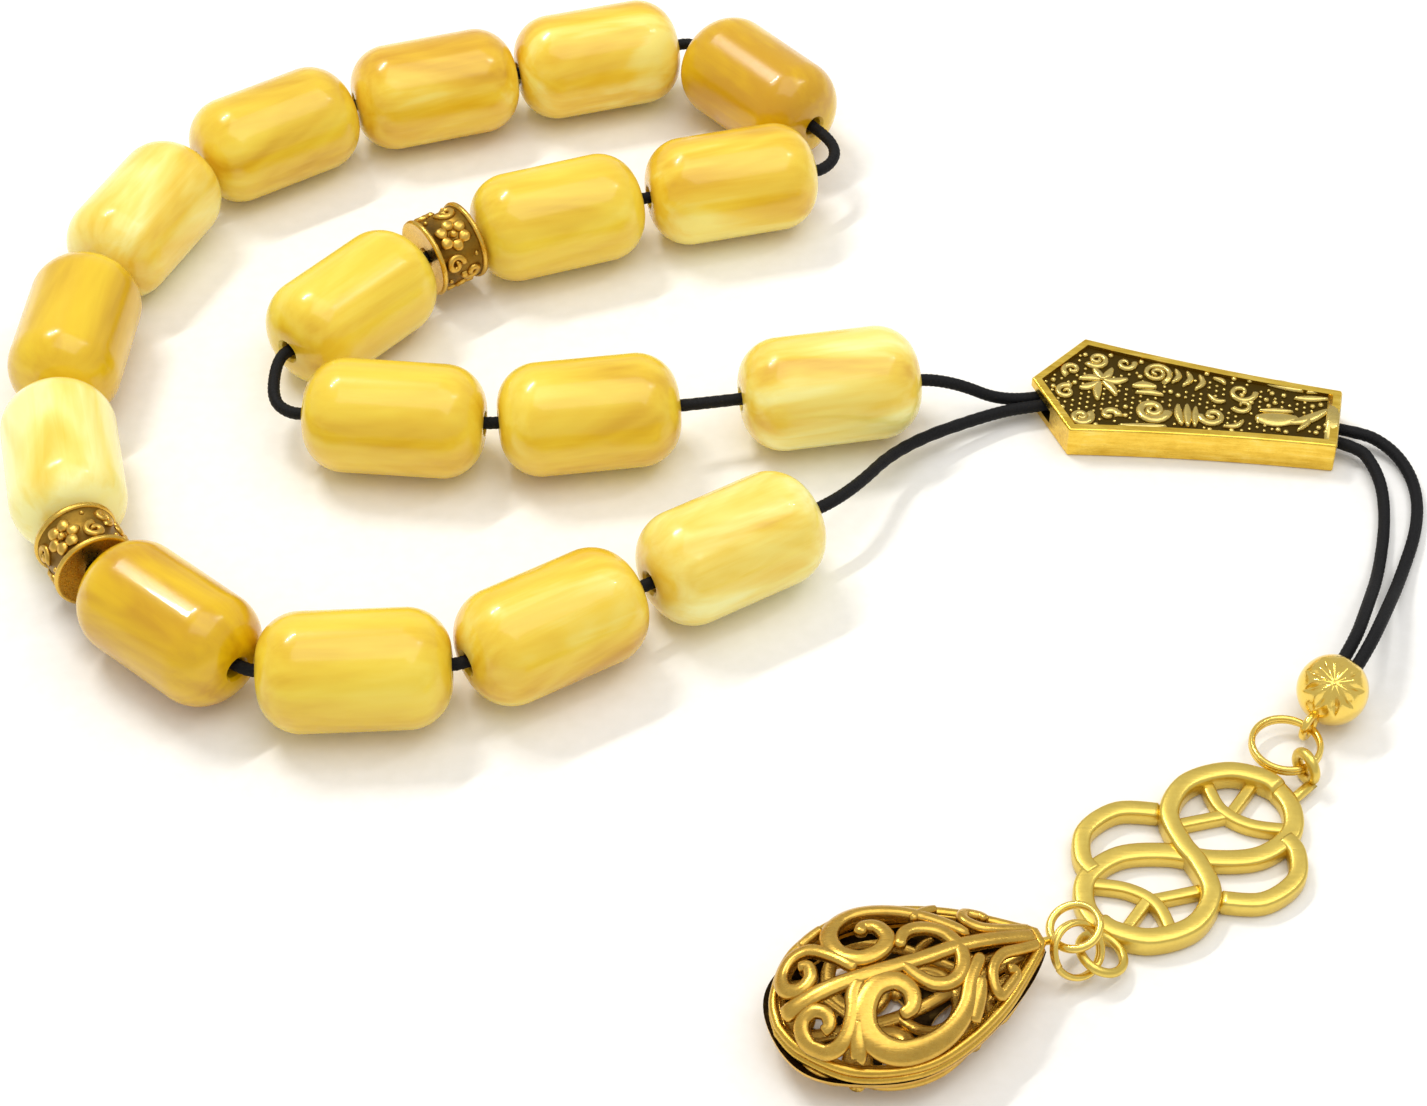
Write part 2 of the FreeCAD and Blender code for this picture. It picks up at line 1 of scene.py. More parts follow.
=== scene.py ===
import json
import math

import bmesh
import bpy
from mathutils import Matrix, Vector


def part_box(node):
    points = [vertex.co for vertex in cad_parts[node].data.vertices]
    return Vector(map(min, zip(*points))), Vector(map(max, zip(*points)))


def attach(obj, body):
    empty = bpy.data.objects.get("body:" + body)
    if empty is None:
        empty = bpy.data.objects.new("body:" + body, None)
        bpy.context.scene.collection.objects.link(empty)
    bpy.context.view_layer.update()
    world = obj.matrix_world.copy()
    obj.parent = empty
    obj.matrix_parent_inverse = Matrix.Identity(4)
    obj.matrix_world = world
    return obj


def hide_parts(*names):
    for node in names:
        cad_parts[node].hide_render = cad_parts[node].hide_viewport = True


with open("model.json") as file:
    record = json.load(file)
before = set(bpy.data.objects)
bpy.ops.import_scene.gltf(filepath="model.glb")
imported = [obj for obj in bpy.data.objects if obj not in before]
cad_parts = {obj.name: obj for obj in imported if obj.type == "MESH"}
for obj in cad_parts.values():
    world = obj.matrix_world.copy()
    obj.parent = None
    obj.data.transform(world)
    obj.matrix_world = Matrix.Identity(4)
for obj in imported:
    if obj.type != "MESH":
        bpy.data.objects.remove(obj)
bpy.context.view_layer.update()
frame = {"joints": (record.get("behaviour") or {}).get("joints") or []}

MM = 0.001

# ---------------------------------------------------------------- sizes and places shared with the CAD

BEAD_LENGTH = 19.0 * MM
SPACER_WIDTH = 5.8 * MM
SPACER_RADIUS = 4.4 * MM
BORE_RADIUS = 1.1 * MM
CORD_DIAMETER = 1.3 * MM
THREAD_INSET = 0.9 * MM

GUARD_TIP = Vector((37.4, 16.3, 0)) * MM
GUARD_HEADING = -11
GUARD_LENGTH = 32.6 * MM
GUARD_TIP_INSET = 4.4 * MM
GUARD_TAIL_REACH = 1.6 * MM
GUARD_STRAND_HEIGHT = 1.85 * MM
STRAND_OFFSET = 0.75 * MM

BALL_RADIUS = 3.5 * MM
BALL_CENTRE = Vector((63.8, -27.7, 3.6)) * MM
BALL_HEADING = 232
BALL_PITCH = 22
BALL_REACH = 1.6 * MM
KNOT_RADIUS = 1.9 * MM

STRING_ORDER = (
    ["bead_%02d" % n for n in range(1, 5)] + ["spacer_1"] + ["bead_%02d" % n for n in range(5, 14)]
    + ["spacer_2"] + ["bead_%02d" % n for n in range(14, 18)]
)

# Free cord, in millimetres, in threading order
CORD_BALL_TO_GUARD = (
    (70.3, -17.8, 4.0), (73.2, -10.6, 1.0), (76.3, -2.6, 0.7), (76.9, 3.6, 0.7), (75.0, 8.2, 1.3),
)
CORD_GUARD_TO_BEAD_01 = ((34.6, 14.6, 1.7), (29.0, 14.3, 5.0))
CORD_BEAD_03_TO_BEAD_04 = ((-40.7, 8.6, 5.8), (-42.9, 11.0, 5.5), (-42.9, 16.9, 5.8))
CORD_BEAD_06_TO_BEAD_07 = ((15.7, 47.9, 5.9), (17.3, 50.1, 5.8), (17.1, 52.8, 5.9))
CORD_BEAD_07_TO_BEAD_08 = ((1.0, 71.1, 6.0),)
CORD_BEAD_17_TO_GUARD = ((17.6, -2.9, 6.0), (23.0, 6.6, 3.2), (33.4, 12.9, 1.9), (37.8, 13.9, 1.85))
CORD_GUARD_TO_BALL = ((73.2, 4.6, 1.1), (73.1, -1.4, 0.7), (71.2, -9.6, 1.0), (68.6, -17.0, 4.0))

JOINT_AXIS = {joint["child"]: Vector(joint["axis"]) for joint in frame["joints"]}


def millimetres(points):
    return [Vector(point) * MM for point in points]


def along(degrees):
    return Vector((math.cos(math.radians(degrees)), math.sin(math.radians(degrees)), 0))


def node_centre(node):
    low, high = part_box(node)
    return (low + high) / 2


def ball_axis():
    pitch = math.radians(BALL_PITCH)
    return along(BALL_HEADING) * math.cos(pitch) - Vector((0, 0, 1)) * math.sin(pitch)


# ---------------------------------------------------------------- camera, floor and light

CAMERA_ELEVATION = 46.5
CAMERA_DISTANCE = 0.339
CAMERA_AIM = Vector((3.5, -5.9, 0)) * MM
CAMERA_LENS = 83.25


def make_camera():
    data = bpy.data.cameras.new("camera")
    data.lens = CAMERA_LENS
    data.sensor_width = 36
    data.clip_start = 0.01
    camera = bpy.data.objects.new("camera", data)
    bpy.context.collection.objects.link(camera)
    rise = math.radians(CAMERA_ELEVATION)
    camera.location = CAMERA_AIM + CAMERA_DISTANCE * Vector((0, -math.cos(rise), math.sin(rise)))
    camera.rotation_euler = (math.pi / 2 - rise, 0, 0)
    bpy.context.scene.camera = camera


def area_light(name, place, aim, size, power, tint=(1, 1, 1)):
    data = bpy.data.lights.new(name, "AREA")
    data.shape = "RECTANGLE"
    data.size = size[0]
    data.size_y = size[1]
    data.energy = power
    data.color = tint
    light = bpy.data.objects.new(name, data)
    bpy.context.collection.objects.link(light)
    light.location = place
    light.rotation_euler = (Vector(aim) - Vector(place)).to_track_quat("-Z", "Y").to_euler()


SKY_TINT = (1.0, 0.985, 0.96, 1)
SKY_STRENGTH = 0.64


def make_lights():
    area_light("strip", (-0.26, 0.30, 0.60), (0, 0, 0), (0.26, 0.02), 1.8, (1.0, 0.98, 0.94))
    area_light("softbox", (0.15, -0.05, 0.90), (0, 0, 0), (0.8, 0.8), 3.0)
    for step in (-1, 0, 1):
        place = (0.34 + 0.06 * step, 0.12 + 0.03 * step, 0.50)
        area_light("dot_%d" % (step + 2), place, (0, 0, 0), (0.014, 0.014), 0.06)
    world = bpy.data.worlds.new("world")
    world.use_nodes = True
    sky = world.node_tree.nodes["Background"].inputs
    sky["Color"].default_value = SKY_TINT
    sky["Strength"].default_value = SKY_STRENGTH
    bpy.context.scene.world = world
    bpy.context.scene.view_settings.view_transform = "Standard"


# ---------------------------------------------------------------- material helpers


def colour(hex_code):
    """Linear colour of a hex code."""
    parts = [int(hex_code[i:i + 2], 16) / 255 for i in (1, 3, 5)]
    linear = [c / 12.92 if c <= 0.04045 else ((c + 0.055) / 1.055) ** 2.4 for c in parts]
    return (*linear, 1)


class Nodes:
    """A material with a Principled shader, and short ways to add nodes to it."""

    def __init__(self, name):
        self.material = bpy.data.materials.new(name)
        self.material.use_nodes = True
        self.tree = self.material.node_tree
        self.shader = self.tree.nodes["Principled BSDF"]

    def add(self, kind, inputs=None, **settings):
        node = self.tree.nodes.new(kind)
        for key, value in settings.items():
            setattr(node, key, value)
        for key, value in (inputs or {}).items():
            if isinstance(value, bpy.types.NodeSocket):
                self.tree.links.new(value, node.inputs[key])
            else:
                node.inputs[key].default_value = value
        return node

    def set(self, **values):
        """Shader values by socket name, with _ for a space."""
        for key, value in values.items():
            socket = self.shader.inputs[key.replace("_", " ")]
            if isinstance(value, bpy.types.NodeSocket):
                self.tree.links.new(value, socket)
            else:
                socket.default_value = value

    def place(self, location=(0, 0, 0), heading=0):
        """Coordinates of the piece in millimetres, from a place and a heading on the table."""
        where = self.add("ShaderNodeTexCoord").outputs["Object"]
        local = self.add("ShaderNodeMapping", {
            "Vector": where, "Location": location, "Rotation": (0, 0, heading),
        }, vector_type="TEXTURE")
        return self.add("ShaderNodeMapping", {
            "Vector": local.outputs["Vector"], "Scale": (1 / MM, 1 / MM, 1 / MM),
        })

    def noise(self, vector, scale=1.0, detail=4.0, roughness=0.55, distortion=0.0):
        return self.add("ShaderNodeTexNoise", {
            "Vector": vector, "Scale": scale, "Detail": detail,
            "Roughness": roughness, "Distortion": distortion,
        }).outputs["Fac"]

    def ramp(self, factor, stops):
        node = self.add("ShaderNodeValToRGB", {"Fac": factor})
        elements = node.color_ramp.elements
        while len(elements) < len(stops):
            elements.new(0.5)
        for element, (position, value) in zip(elements, stops):
            element.position = position
            element.color = value
        return node.outputs["Color"]

    def math(self, operation, a, b=0.0, clamp=False):
        return self.add("ShaderNodeMath", {0: a, 1: b}, operation=operation, use_clamp=clamp).outputs[0]

    def mix(self, factor, a, b):
        return self.add("ShaderNodeMix", {0: factor, 6: a, 7: b}, data_type="RGBA").outputs[2]

    def bump(self, height, distance, strength=1.0):
        self.set(Normal=self.add("ShaderNodeBump", {
            "Height": height, "Distance": distance, "Strength": strength,
        }).outputs["Normal"])


# ---------------------------------------------------------------- floor


def make_floor():
    bpy.ops.mesh.primitive_plane_add(size=6, location=(0, 0, 0))
    floor = bpy.context.object
    floor.name = "floor"
    nodes = Nodes("floor_paper")
    grain = nodes.noise(nodes.place().outputs["Vector"], 0.6, 3)
    paper = nodes.ramp(grain, [(0.3, colour("#F6F5F2")), (0.7, colour("#FAF9F7"))])
    nodes.set(Base_Color=paper, Roughness=0.75)
    floor.data.materials.append(nodes.material)


# ---------------------------------------------------------------- beads

# Tints of the resin, and how each bead is marbled: seed, how pale it is (-1 to 1), and its tints.
AMBER = dict(deep="#D4A018", gold="#E8BC28", light="#F3D142", cream="#FBE97C")
HONEY = dict(deep="#D9AB1C", gold="#EAC532", light="#F2D442", cream="#F8E05C")
ORANGE = dict(deep="#CE9C04", gold="#E0B402", light="#E9C008", cream="#F0CE20")
GREEN_GOLD = dict(deep="#D2A60E", gold="#E2B918", light="#ECC824", cream="#F3D53E")
LEMON = dict(deep="#E0B03A", gold="#F1CF4C", light="#F9E476", cream="#FFF6A4")
BEADS = {
    "bead_01": (1, 0.08, LEMON), "bead_02": (2, 0.02, HONEY), "bead_03": (3, -0.02, HONEY),
    "bead_04": (4, 0.10, HONEY), "bead_05": (5, 0.04, HONEY), "bead_06": (6, 0.10, AMBER),
    "bead_07": (7, -0.08, ORANGE), "bead_08": (8, 0.08, AMBER), "bead_09": (9, 0.04, AMBER),
    "bead_10": (10, 0.02, HONEY), "bead_11": (11, 0.02, LEMON), "bead_12": (12, -0.06, GREEN_GOLD),
    "bead_13": (13, 0.20, LEMON), "bead_14": (14, -0.12, ORANGE), "bead_15": (15, 0.04, HONEY),
    "bead_16": (16, 0.04, AMBER), "bead_17": (17, 0.10, LEMON),
}


def bead_material(name, seed, paleness, tints):
    nodes = Nodes(name + "_resin")
    axis = JOINT_AXIS[name]
    heading = math.atan2(axis.y, axis.x)
    where = nodes.place(node_centre(name), heading)
    shifted = nodes.add("ShaderNodeVectorMath", {
        0: where.outputs["Vector"], 1: (37.0 * seed, 11.0 * seed, 5.0 * seed),
    }, operation="ADD").outputs[0]
    stretched = nodes.add("ShaderNodeMapping", {"Vector": shifted, "Scale": (0.035, 0.13, 0.13)})
    swirl = nodes.noise(stretched.outputs["Vector"], 1.0, 3.0, 0.5, 1.1)
    veins_at = nodes.add("ShaderNodeMapping", {"Vector": shifted, "Scale": (0.05, 0.55, 0.55)})
    veins = nodes.noise(veins_at.outputs["Vector"], 1.0, 4.0, 0.6, 0.8)
    blend = nodes.math("ADD", nodes.math("MULTIPLY", swirl, 1.55), nodes.math("MULTIPLY", veins, 0.35))
    tone = nodes.math("SUBTRACT", blend, 0.45 - paleness)
    body = nodes.ramp(tone, [
        (0.18, colour(tints["deep"])), (0.40, colour(tints["gold"])),
        (0.60, colour(tints["light"])), (0.80, colour(tints["cream"])),
    ])
    nodes.set(
        Base_Color=body, Roughness=0.24, IOR=1.46, Coat_Weight=0.4, Coat_Roughness=0.05,
        Subsurface_Weight=0.22, Subsurface_Radius=(1.2, 1.1, 0.5), Subsurface_Scale=1.0 * MM,
    )
    wear = nodes.noise(shifted, 1.6, 5.0, 0.6)
    nodes.bump(wear, 0.02 * MM, 0.35)
    return nodes.material


def finish_beads():
    for name, (seed, paleness, tints) in BEADS.items():
        set_material(name, bead_material(name, seed, paleness, tints))


def set_material(node, material):
    data = bpy.data.objects[node].data
    data.materials.clear()
    data.materials.append(material)


# ---------------------------------------------------------------- cord


def threaded(names, start):
    """Where the cord enters and leaves each named piece, going on from start."""
    points = []
    last = start
    for name in names:
        half = (BEAD_LENGTH if name.startswith("bead") else SPACER_WIDTH) / 2 - THREAD_INSET
        centre = node_centre(name)
        ends = [centre - JOINT_AXIS[name] * half, centre + JOINT_AXIS[name] * half]
        ends.sort(key=lambda end: (end - last).length)
        points += ends
        last = ends[1]
    return points


def guard_points(side):
    across = along(GUARD_HEADING + 90) * (side * STRAND_OFFSET)
    base = GUARD_TIP + Vector((0, 0, GUARD_STRAND_HEIGHT)) + across
    return [base + along(GUARD_HEADING) * x for x in (GUARD_TIP_INSET, GUARD_LENGTH + GUARD_TAIL_REACH)]


def ball_points(side):
    axis = ball_axis()
    sideways = axis.cross(Vector((0, 0, 1))).normalized() * (side * STRAND_OFFSET)
    return [
        BALL_CENTRE - axis * (KNOT_RADIUS / 2) + sideways,
        BALL_CENTRE - axis * (BALL_RADIUS + BALL_REACH) + sideways,
    ]


def cord_route():
    route = ball_points(-1) + millimetres(CORD_BALL_TO_GUARD)
    route += reversed(guard_points(1))
    route += millimetres(CORD_GUARD_TO_BEAD_01)
    route += threaded(STRING_ORDER[:3], route[-1])
    route += millimetres(CORD_BEAD_03_TO_BEAD_04)
    route += threaded(STRING_ORDER[3:7], route[-1])
    route += millimetres(CORD_BEAD_06_TO_BEAD_07)
    route += threaded(STRING_ORDER[7:8], route[-1])
    route += millimetres(CORD_BEAD_07_TO_BEAD_08)
    route += threaded(STRING_ORDER[8:], route[-1])
    route += millimetres(CORD_BEAD_17_TO_GUARD)
    route += guard_points(-1)
    route += millimetres(CORD_GUARD_TO_BALL)
    route += reversed(ball_points(1))
    return route


def nurbs_line(points):
    """The smooth line that has the points as its control points, as points along it."""
    curve = bpy.data.curves.new("cord_line", "CURVE")
    curve.dimensions = "3D"
    spline = curve.splines.new("NURBS")
    spline.points.add(len(points) - 1)
    for control, point in zip(spline.points, points):
        control.co = (*point, 1)
    spline.order_u = 3
    spline.use_endpoint_u = True
    spline.resolution_u = 24
    line = bpy.data.objects.new("cord_line", curve)
    bpy.context.collection.objects.link(line)
    mesh = bpy.data.meshes.new_from_object(line)
    path = [vertex.co.copy() for vertex in mesh.vertices]
    bpy.data.objects.remove(line)
    bpy.data.meshes.remove(mesh)
    return path


def tube(name, path, radius_at, sides):
    """A tube along a path; radius_at(angle, distance) is its radius, and its map runs along and round."""
    mesh = bmesh.new()
    layer = mesh.loops.layers.uv.new("along_round")
    rings = []
    distances = [0.0]
    normal = None
    count = len(path)
    for i in range(count):
        before = path[max(i - 1, 0)]
        after = path[min(i + 1, count - 1)]
        tangent = (after - before).normalized()
        if normal is None:
            normal = tangent.orthogonal().normalized()
        normal = (normal - tangent * normal.dot(tangent)).normalized()
        side = tangent.cross(normal)
        if i:
            distances.append(distances[-1] + (path[i] - path[i - 1]).length)
        ring = []
        for k in range(sides):
            angle = 2 * math.pi * k / sides
            radius = radius_at(angle, distances[-1])
            offset = normal * math.cos(angle) + side * math.sin(angle)
            ring.append(mesh.verts.new(path[i] + offset * radius))
        rings.append(ring)
    for i in range(count - 1):
        j = i + 1
        for k in range(sides):
            n = (k + 1) % sides
            face = mesh.faces.new((rings[i][k], rings[i][n], rings[j][n], rings[j][k]))
            face.smooth = True
            ends = ((distances[i], k), (distances[i], k + 1), (distances[j], k + 1), (distances[j], k))
            for loop, (distance, turn) in zip(face.loops, ends):
                loop[layer].uv = (distance, turn / sides)
    mesh.faces.new(list(reversed(rings[0])))
    mesh.faces.new(rings[-1])
    data = bpy.data.meshes.new(name)
    mesh.to_mesh(data)
    mesh.free()
    piece = bpy.data.objects.new(name, data)
    bpy.context.collection.objects.link(piece)
    return piece


def cord_material():
    nodes = Nodes("black_braid")
    where = nodes.place()
    fibre = nodes.noise(where.outputs["Vector"], 6.0, 3)
    nodes.set(
        Base_Color=nodes.ramp(fibre, [(0.3, colour("#060607")), (0.75, colour("#19191C"))]),
        Roughness=0.7, Specular_IOR_Level=0.22,
    )
    nodes.bump(fibre, 0.08 * MM, 0.6)
    return nodes.material


BRAID_PITCH = 2.4 * MM
BRAID_DEPTH = 0.07
CORD_STEP = 0.12 * MM


def braid_radius(angle, distance):
    """Two sets of yarns that wind opposite ways and pass over each other."""
    turn = 2 * math.pi * distance / BRAID_PITCH
    weave = math.cos(4 * angle + turn * 2) * math.cos(4 * angle - turn * 2)
    return CORD_DIAMETER / 2 * (1 - BRAID_DEPTH / 2 + BRAID_DEPTH * weave)


def make_cord():
    route = cord_route()
    line = nurbs_line(route)
    path = [line[0]]
    for point in line[1:]:
        if (point - path[-1]).length > CORD_STEP:
            path.append(point)
    cord = tube("string_cord", path, braid_radius, 16)
    cord.data.materials.append(cord_material())
    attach(cord, "string")
    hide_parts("cord")
    set_material("cord_knot", cord.data.materials[0])


# ---------------------------------------------------------------- metal


def through(points, steps):
    """A smooth line through the points."""
    count = len(points)
    line = []
    for i in range(count - 1):
        a, b, c, d = points[max(i - 1, 0)], points[i], points[i + 1], points[min(i + 2, count - 1)]
        for k in range(steps):
            t = k / steps
            line.append(0.5 * (
                2 * b + (c - a) * t + (2 * a - 5 * b + 4 * c - d) * t ** 2 + (3 * b - a - 3 * c + d) * t ** 3
            ))
    line.append(points[-1])
    return line


def rounded_tip(share, reach):
    """How wide a strip is near its ends, which are rounded over that share of its length."""
    nearest = min(share, 1 - share) / reach
    return 1.0 if nearest >= 1 else max(math.sqrt(1 - (1 - nearest) ** 2), 0.04)


def add_strip(mesh, path, ups, width_at, height, squareness=1.0, sides=12, closed=False):
    """Adds a rounded strip along a path, with its top towards ups; width_at(share) is its full width."""
    layer = mesh.loops.layers.uv.verify()
    count = len(path)
    rings = []
    for i in range(count):
        before = path[(i - 1) % count] if closed or i else path[0]
        after = path[(i + 1) % count] if closed or i < count - 1 else path[-1]
        tangent = (after - before).normalized()
        side = tangent.cross(ups[i]).normalized()
        up = side.cross(tangent).normalized()
        share = i / (count - 1)
        half = width_at(share) / 2
        ring = []
        for k in range(sides):
            angle = 2 * math.pi * k / sides
            across = math.copysign(abs(math.cos(angle)) ** squareness, math.cos(angle))
            rise = math.copysign(abs(math.sin(angle)) ** squareness, math.sin(angle))
            tall = height / 2 * (1 if closed else rounded_tip(share, 0.04))
            ring.append(mesh.verts.new(path[i] + side * (across * half) + up * (rise * tall)))
        rings.append(ring)
    for i in range(count if closed else count - 1):
        j = (i + 1) % count
        for k in range(sides):
            n = (k + 1) % sides
            face = mesh.faces.new((rings[i][k], rings[j][k], rings[j][n], rings[i][n]))
            face.smooth = True
            for loop, turn in zip(face.loops, (k, k, k + 1, k + 1)):
                loop[layer].uv = (i / count, turn / sides)
    if not closed:
        mesh.faces.new(rings[0])
        mesh.faces.new(list(reversed(rings[-1])))


def add_pellet(mesh, centre, radius, squash=0.7):
    """A small rounded boss."""
    layer = mesh.loops.layers.uv.verify()
    made = bmesh.ops.create_icosphere(
        mesh, subdivisions=2, radius=radius,
        matrix=Matrix.Translation(centre) @ Matrix.Diagonal((1, 1, squash, 1)))
    for vertex in made["verts"]:
        for face in vertex.link_faces:
            face.smooth = True
            for loop in face.loops:
                loop[layer].uv = (0.5, 0.25)


def new_piece(name, mesh, material, body, replaced=()):
    bmesh.ops.recalc_face_normals(mesh, faces=mesh.faces)
    data = bpy.data.meshes.new(name)
    mesh.to_mesh(data)
    mesh.free()
    data.materials.append(material)
    piece = bpy.data.objects.new(name, data)
    bpy.context.collection.objects.link(piece)
    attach(piece, body)
    if replaced:
        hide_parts(*replaced)
    return piece


def gold_material(name, gold, dark, wear, roughness, relief=None):
    """Gold-coloured metal; relief is a socket that is 0 in the recesses, where the dark colour stays as
    patina and painted shade.
    """
    nodes = Nodes(name)
    where = nodes.place().outputs["Vector"]
    cloud = nodes.noise(where, 0.5, 5, 0.6)
    scratches = nodes.noise(nodes.add("ShaderNodeMapping", {
        "Vector": where, "Rotation": (0, 0, 0.5), "Scale": (0.35, 5.0, 3.0),
    }).outputs["Vector"], 1.0, 3)
    speckle = nodes.noise(where, 3.6, 6, 0.7)
    stain = nodes.math("MULTIPLY", nodes.math("SUBTRACT", cloud, 0.5), wear)
    if relief is None:
        bright = nodes.math("ADD", stain, 0.85, clamp=True)
    else:
        bright = nodes.math("ADD", relief(nodes), stain, clamp=True)
    polished = nodes.mix(speckle, colour(gold[0]), colour(gold[1]))
    nodes.set(
        Base_Color=nodes.mix(bright, colour(dark), polished),
        Metallic=1.0,
        Roughness=nodes.math("ADD", nodes.math("MULTIPLY", scratches, 0.22), roughness - 0.08),
    )
    height = nodes.math("ADD", nodes.math("MULTIPLY", speckle, 0.5), scratches)
    nodes.bump(height, 0.03 * MM, 0.4)
    return nodes.material


def strip_relief(nodes):
    """Bright on top of a strip, dark at its foot, from the strip's own map; the dark foot is patina with
    painted shade.
    """
    turn = nodes.add("ShaderNodeSeparateXYZ", {
        "Vector": nodes.add("ShaderNodeUVMap", uv_map="UVMap").outputs["UV"],
    }).outputs["Y"]
    top = nodes.math("SINE", nodes.math("MULTIPLY", turn, 2 * math.pi))
    return nodes.math("ADD", nodes.math("MULTIPLY", top, 0.6), 0.72, clamp=True)


def shell_painted_shade(nodes):
    """Bright on the underside of the drop's lower shell, 0 on its inside, which faces up and is painted dark
    as shade.
    """
    normal = nodes.add("ShaderNodeTexCoord").outputs["Normal"]
    upward = nodes.add("ShaderNodeSeparateXYZ", {"Vector": normal}).outputs["Z"]
    return nodes.math("MULTIPLY", nodes.math("LESS_THAN", upward, SHELL_INSIDE_UPWARD), SHELL_SHINE)


WORN_GOLD = ("#FFD970", "#E6AE40")
BRIGHT_GOLD = ("#FFE684", "#FAD45C")
PALE_GOLD = ("#F3DC78", "#E6C85C")
# dark of stains and recesses: patina, with painted shade at the feet of the relief strips
PATINA_AND_SHADE = "#2A1C08"
SHELL_INSIDE_UPWARD = 0.3       # faces of the shell that look up more than this are its inside, painted dark as shade
SHELL_SHINE = 0.9


def spiral(centre, radius, turns, start, tight=0.12, steps=26):
    """Points winding in to the centre from that radius; start is in degrees, turns may be negative."""
    points = []
    for i in range(steps + 1):
        share = i / steps
        angle = math.radians(start + 360 * turns * share)
        reach = radius * ((1 - share) * (1 - tight) + tight)
        points.append(Vector((centre[0] + reach * math.cos(angle), centre[1] + reach * math.sin(angle))))
    return points


# ---------------------------------------------------------------- spacers

SPACER_RIM_WIDTH = 0.6 * MM
SPACER_FLOOR = 3.9 * MM
SPACER_MOTIFS = 3
PETALS = 6
PETAL_WIDTH = 1.45 * MM
PETAL_HEIGHT = 0.7 * MM
SCROLL_WIDTH = 0.72 * MM
SCROLL_HEIGHT = 0.65 * MM
MOTIF_LIFT = 0.08 * MM


def spacer_profile():
    """Half outline of the drum as (along, radius) pairs, from one hole edge to the other."""
    end = SPACER_WIDTH / 2
    rim = end - SPACER_RIM_WIDTH
    round_rim = [
        (end - 0.05 * MM, SPACER_RADIUS - 0.45 * MM), (end, SPACER_RADIUS - 0.28 * MM),
        (end - 0.08 * MM, SPACER_RADIUS - 0.06 * MM), (end - 0.3 * MM, SPACER_RADIUS),
        (rim + 0.25 * MM, SPACER_RADIUS), (rim + 0.06 * MM, SPACER_RADIUS - 0.08 * MM),
        (rim, SPACER_RADIUS - 0.25 * MM), (rim - 0.06 * MM, SPACER_FLOOR),
    ]
    dish = [
        (end - 0.45 * MM, BORE_RADIUS), (end - 0.36 * MM, BORE_RADIUS + 0.12 * MM),
        (end - 0.34 * MM, 2.3 * MM), (end - 0.2 * MM, 3.2 * MM), (end - 0.1 * MM, SPACER_RADIUS - 0.7 * MM),
    ]
    side = dish + round_rim
    return [(-x, r) for x, r in side] + [(x, r) for x, r in reversed(side)]


def lathe(mesh, profile, sides):
    """Turns a closed outline of (along, radius) pairs round the X axis."""
    layer = mesh.loops.layers.uv.verify()
    rings = []
    for x, radius in profile:
        ring = []
        for k in range(sides):
            angle = 2 * math.pi * k / sides
            ring.append(mesh.verts.new((x, radius * math.cos(angle), radius * math.sin(angle))))
        rings.append(ring)
    for one, other in zip(rings, rings[1:] + rings[:1]):
        for k in range(sides):
            n = (k + 1) % sides
            face = mesh.faces.new((one[k], one[n], other[n], other[k]))
            face.smooth = True
            for loop in face.loops:
                loop[layer].uv = (0.5, 0.25)


def on_drum(x, arc, radius):
    """A place on the drum from the distance along it and the distance round it."""
    angle = arc / SPACER_FLOOR
    return Vector((x, radius * math.cos(angle), radius * math.sin(angle)))


def wrap(points, lift):
    """A drawing on the drum's band, with its outward directions."""
    path = [on_drum(point.x, point.y, SPACER_FLOOR + lift) for point in points]
    return path, [Vector((0, p.y, p.z)).normalized() for p in path]


def add_flower(mesh, arc):
    for petal in range(PETALS):
        turn = math.radians(360 / PETALS * petal + 30)
        tip = Vector((2.05 * math.cos(turn), 1.95 * math.sin(turn))) * MM
        base = tip * 0.28
        points = [Vector((0, arc)) + base.lerp(tip, t / 5) for t in range(6)]
        path, ups = wrap(points, MOTIF_LIFT)
        add_strip(
            mesh, path, ups,
            lambda share: PETAL_WIDTH * math.sin(math.pi * (0.12 + 0.8 * share)), PETAL_HEIGHT,
        )
    add_pellet(mesh, on_drum(0, arc, SPACER_FLOOR + 0.2 * MM), 0.42 * MM, 1.0)


def add_drum_scroll(mesh, arc):
    for side in (1, -1):
        curl = spiral((1.0 * side, 0.85 * side), 1.1, -1.25, 200 if side > 0 else 20)
        points = [Vector((0, arc)) + p * MM for p in curl]
        path, ups = wrap(points, MOTIF_LIFT)
        add_strip(mesh, path, ups, lambda share: SCROLL_WIDTH, SCROLL_HEIGHT)
    for x, y in ((1.7, -1.2), (-1.7, 1.2)):
        add_pellet(mesh, on_drum(x * MM, arc + y * MM, SPACER_FLOOR + 0.05 * MM), 0.26 * MM, 1.0)


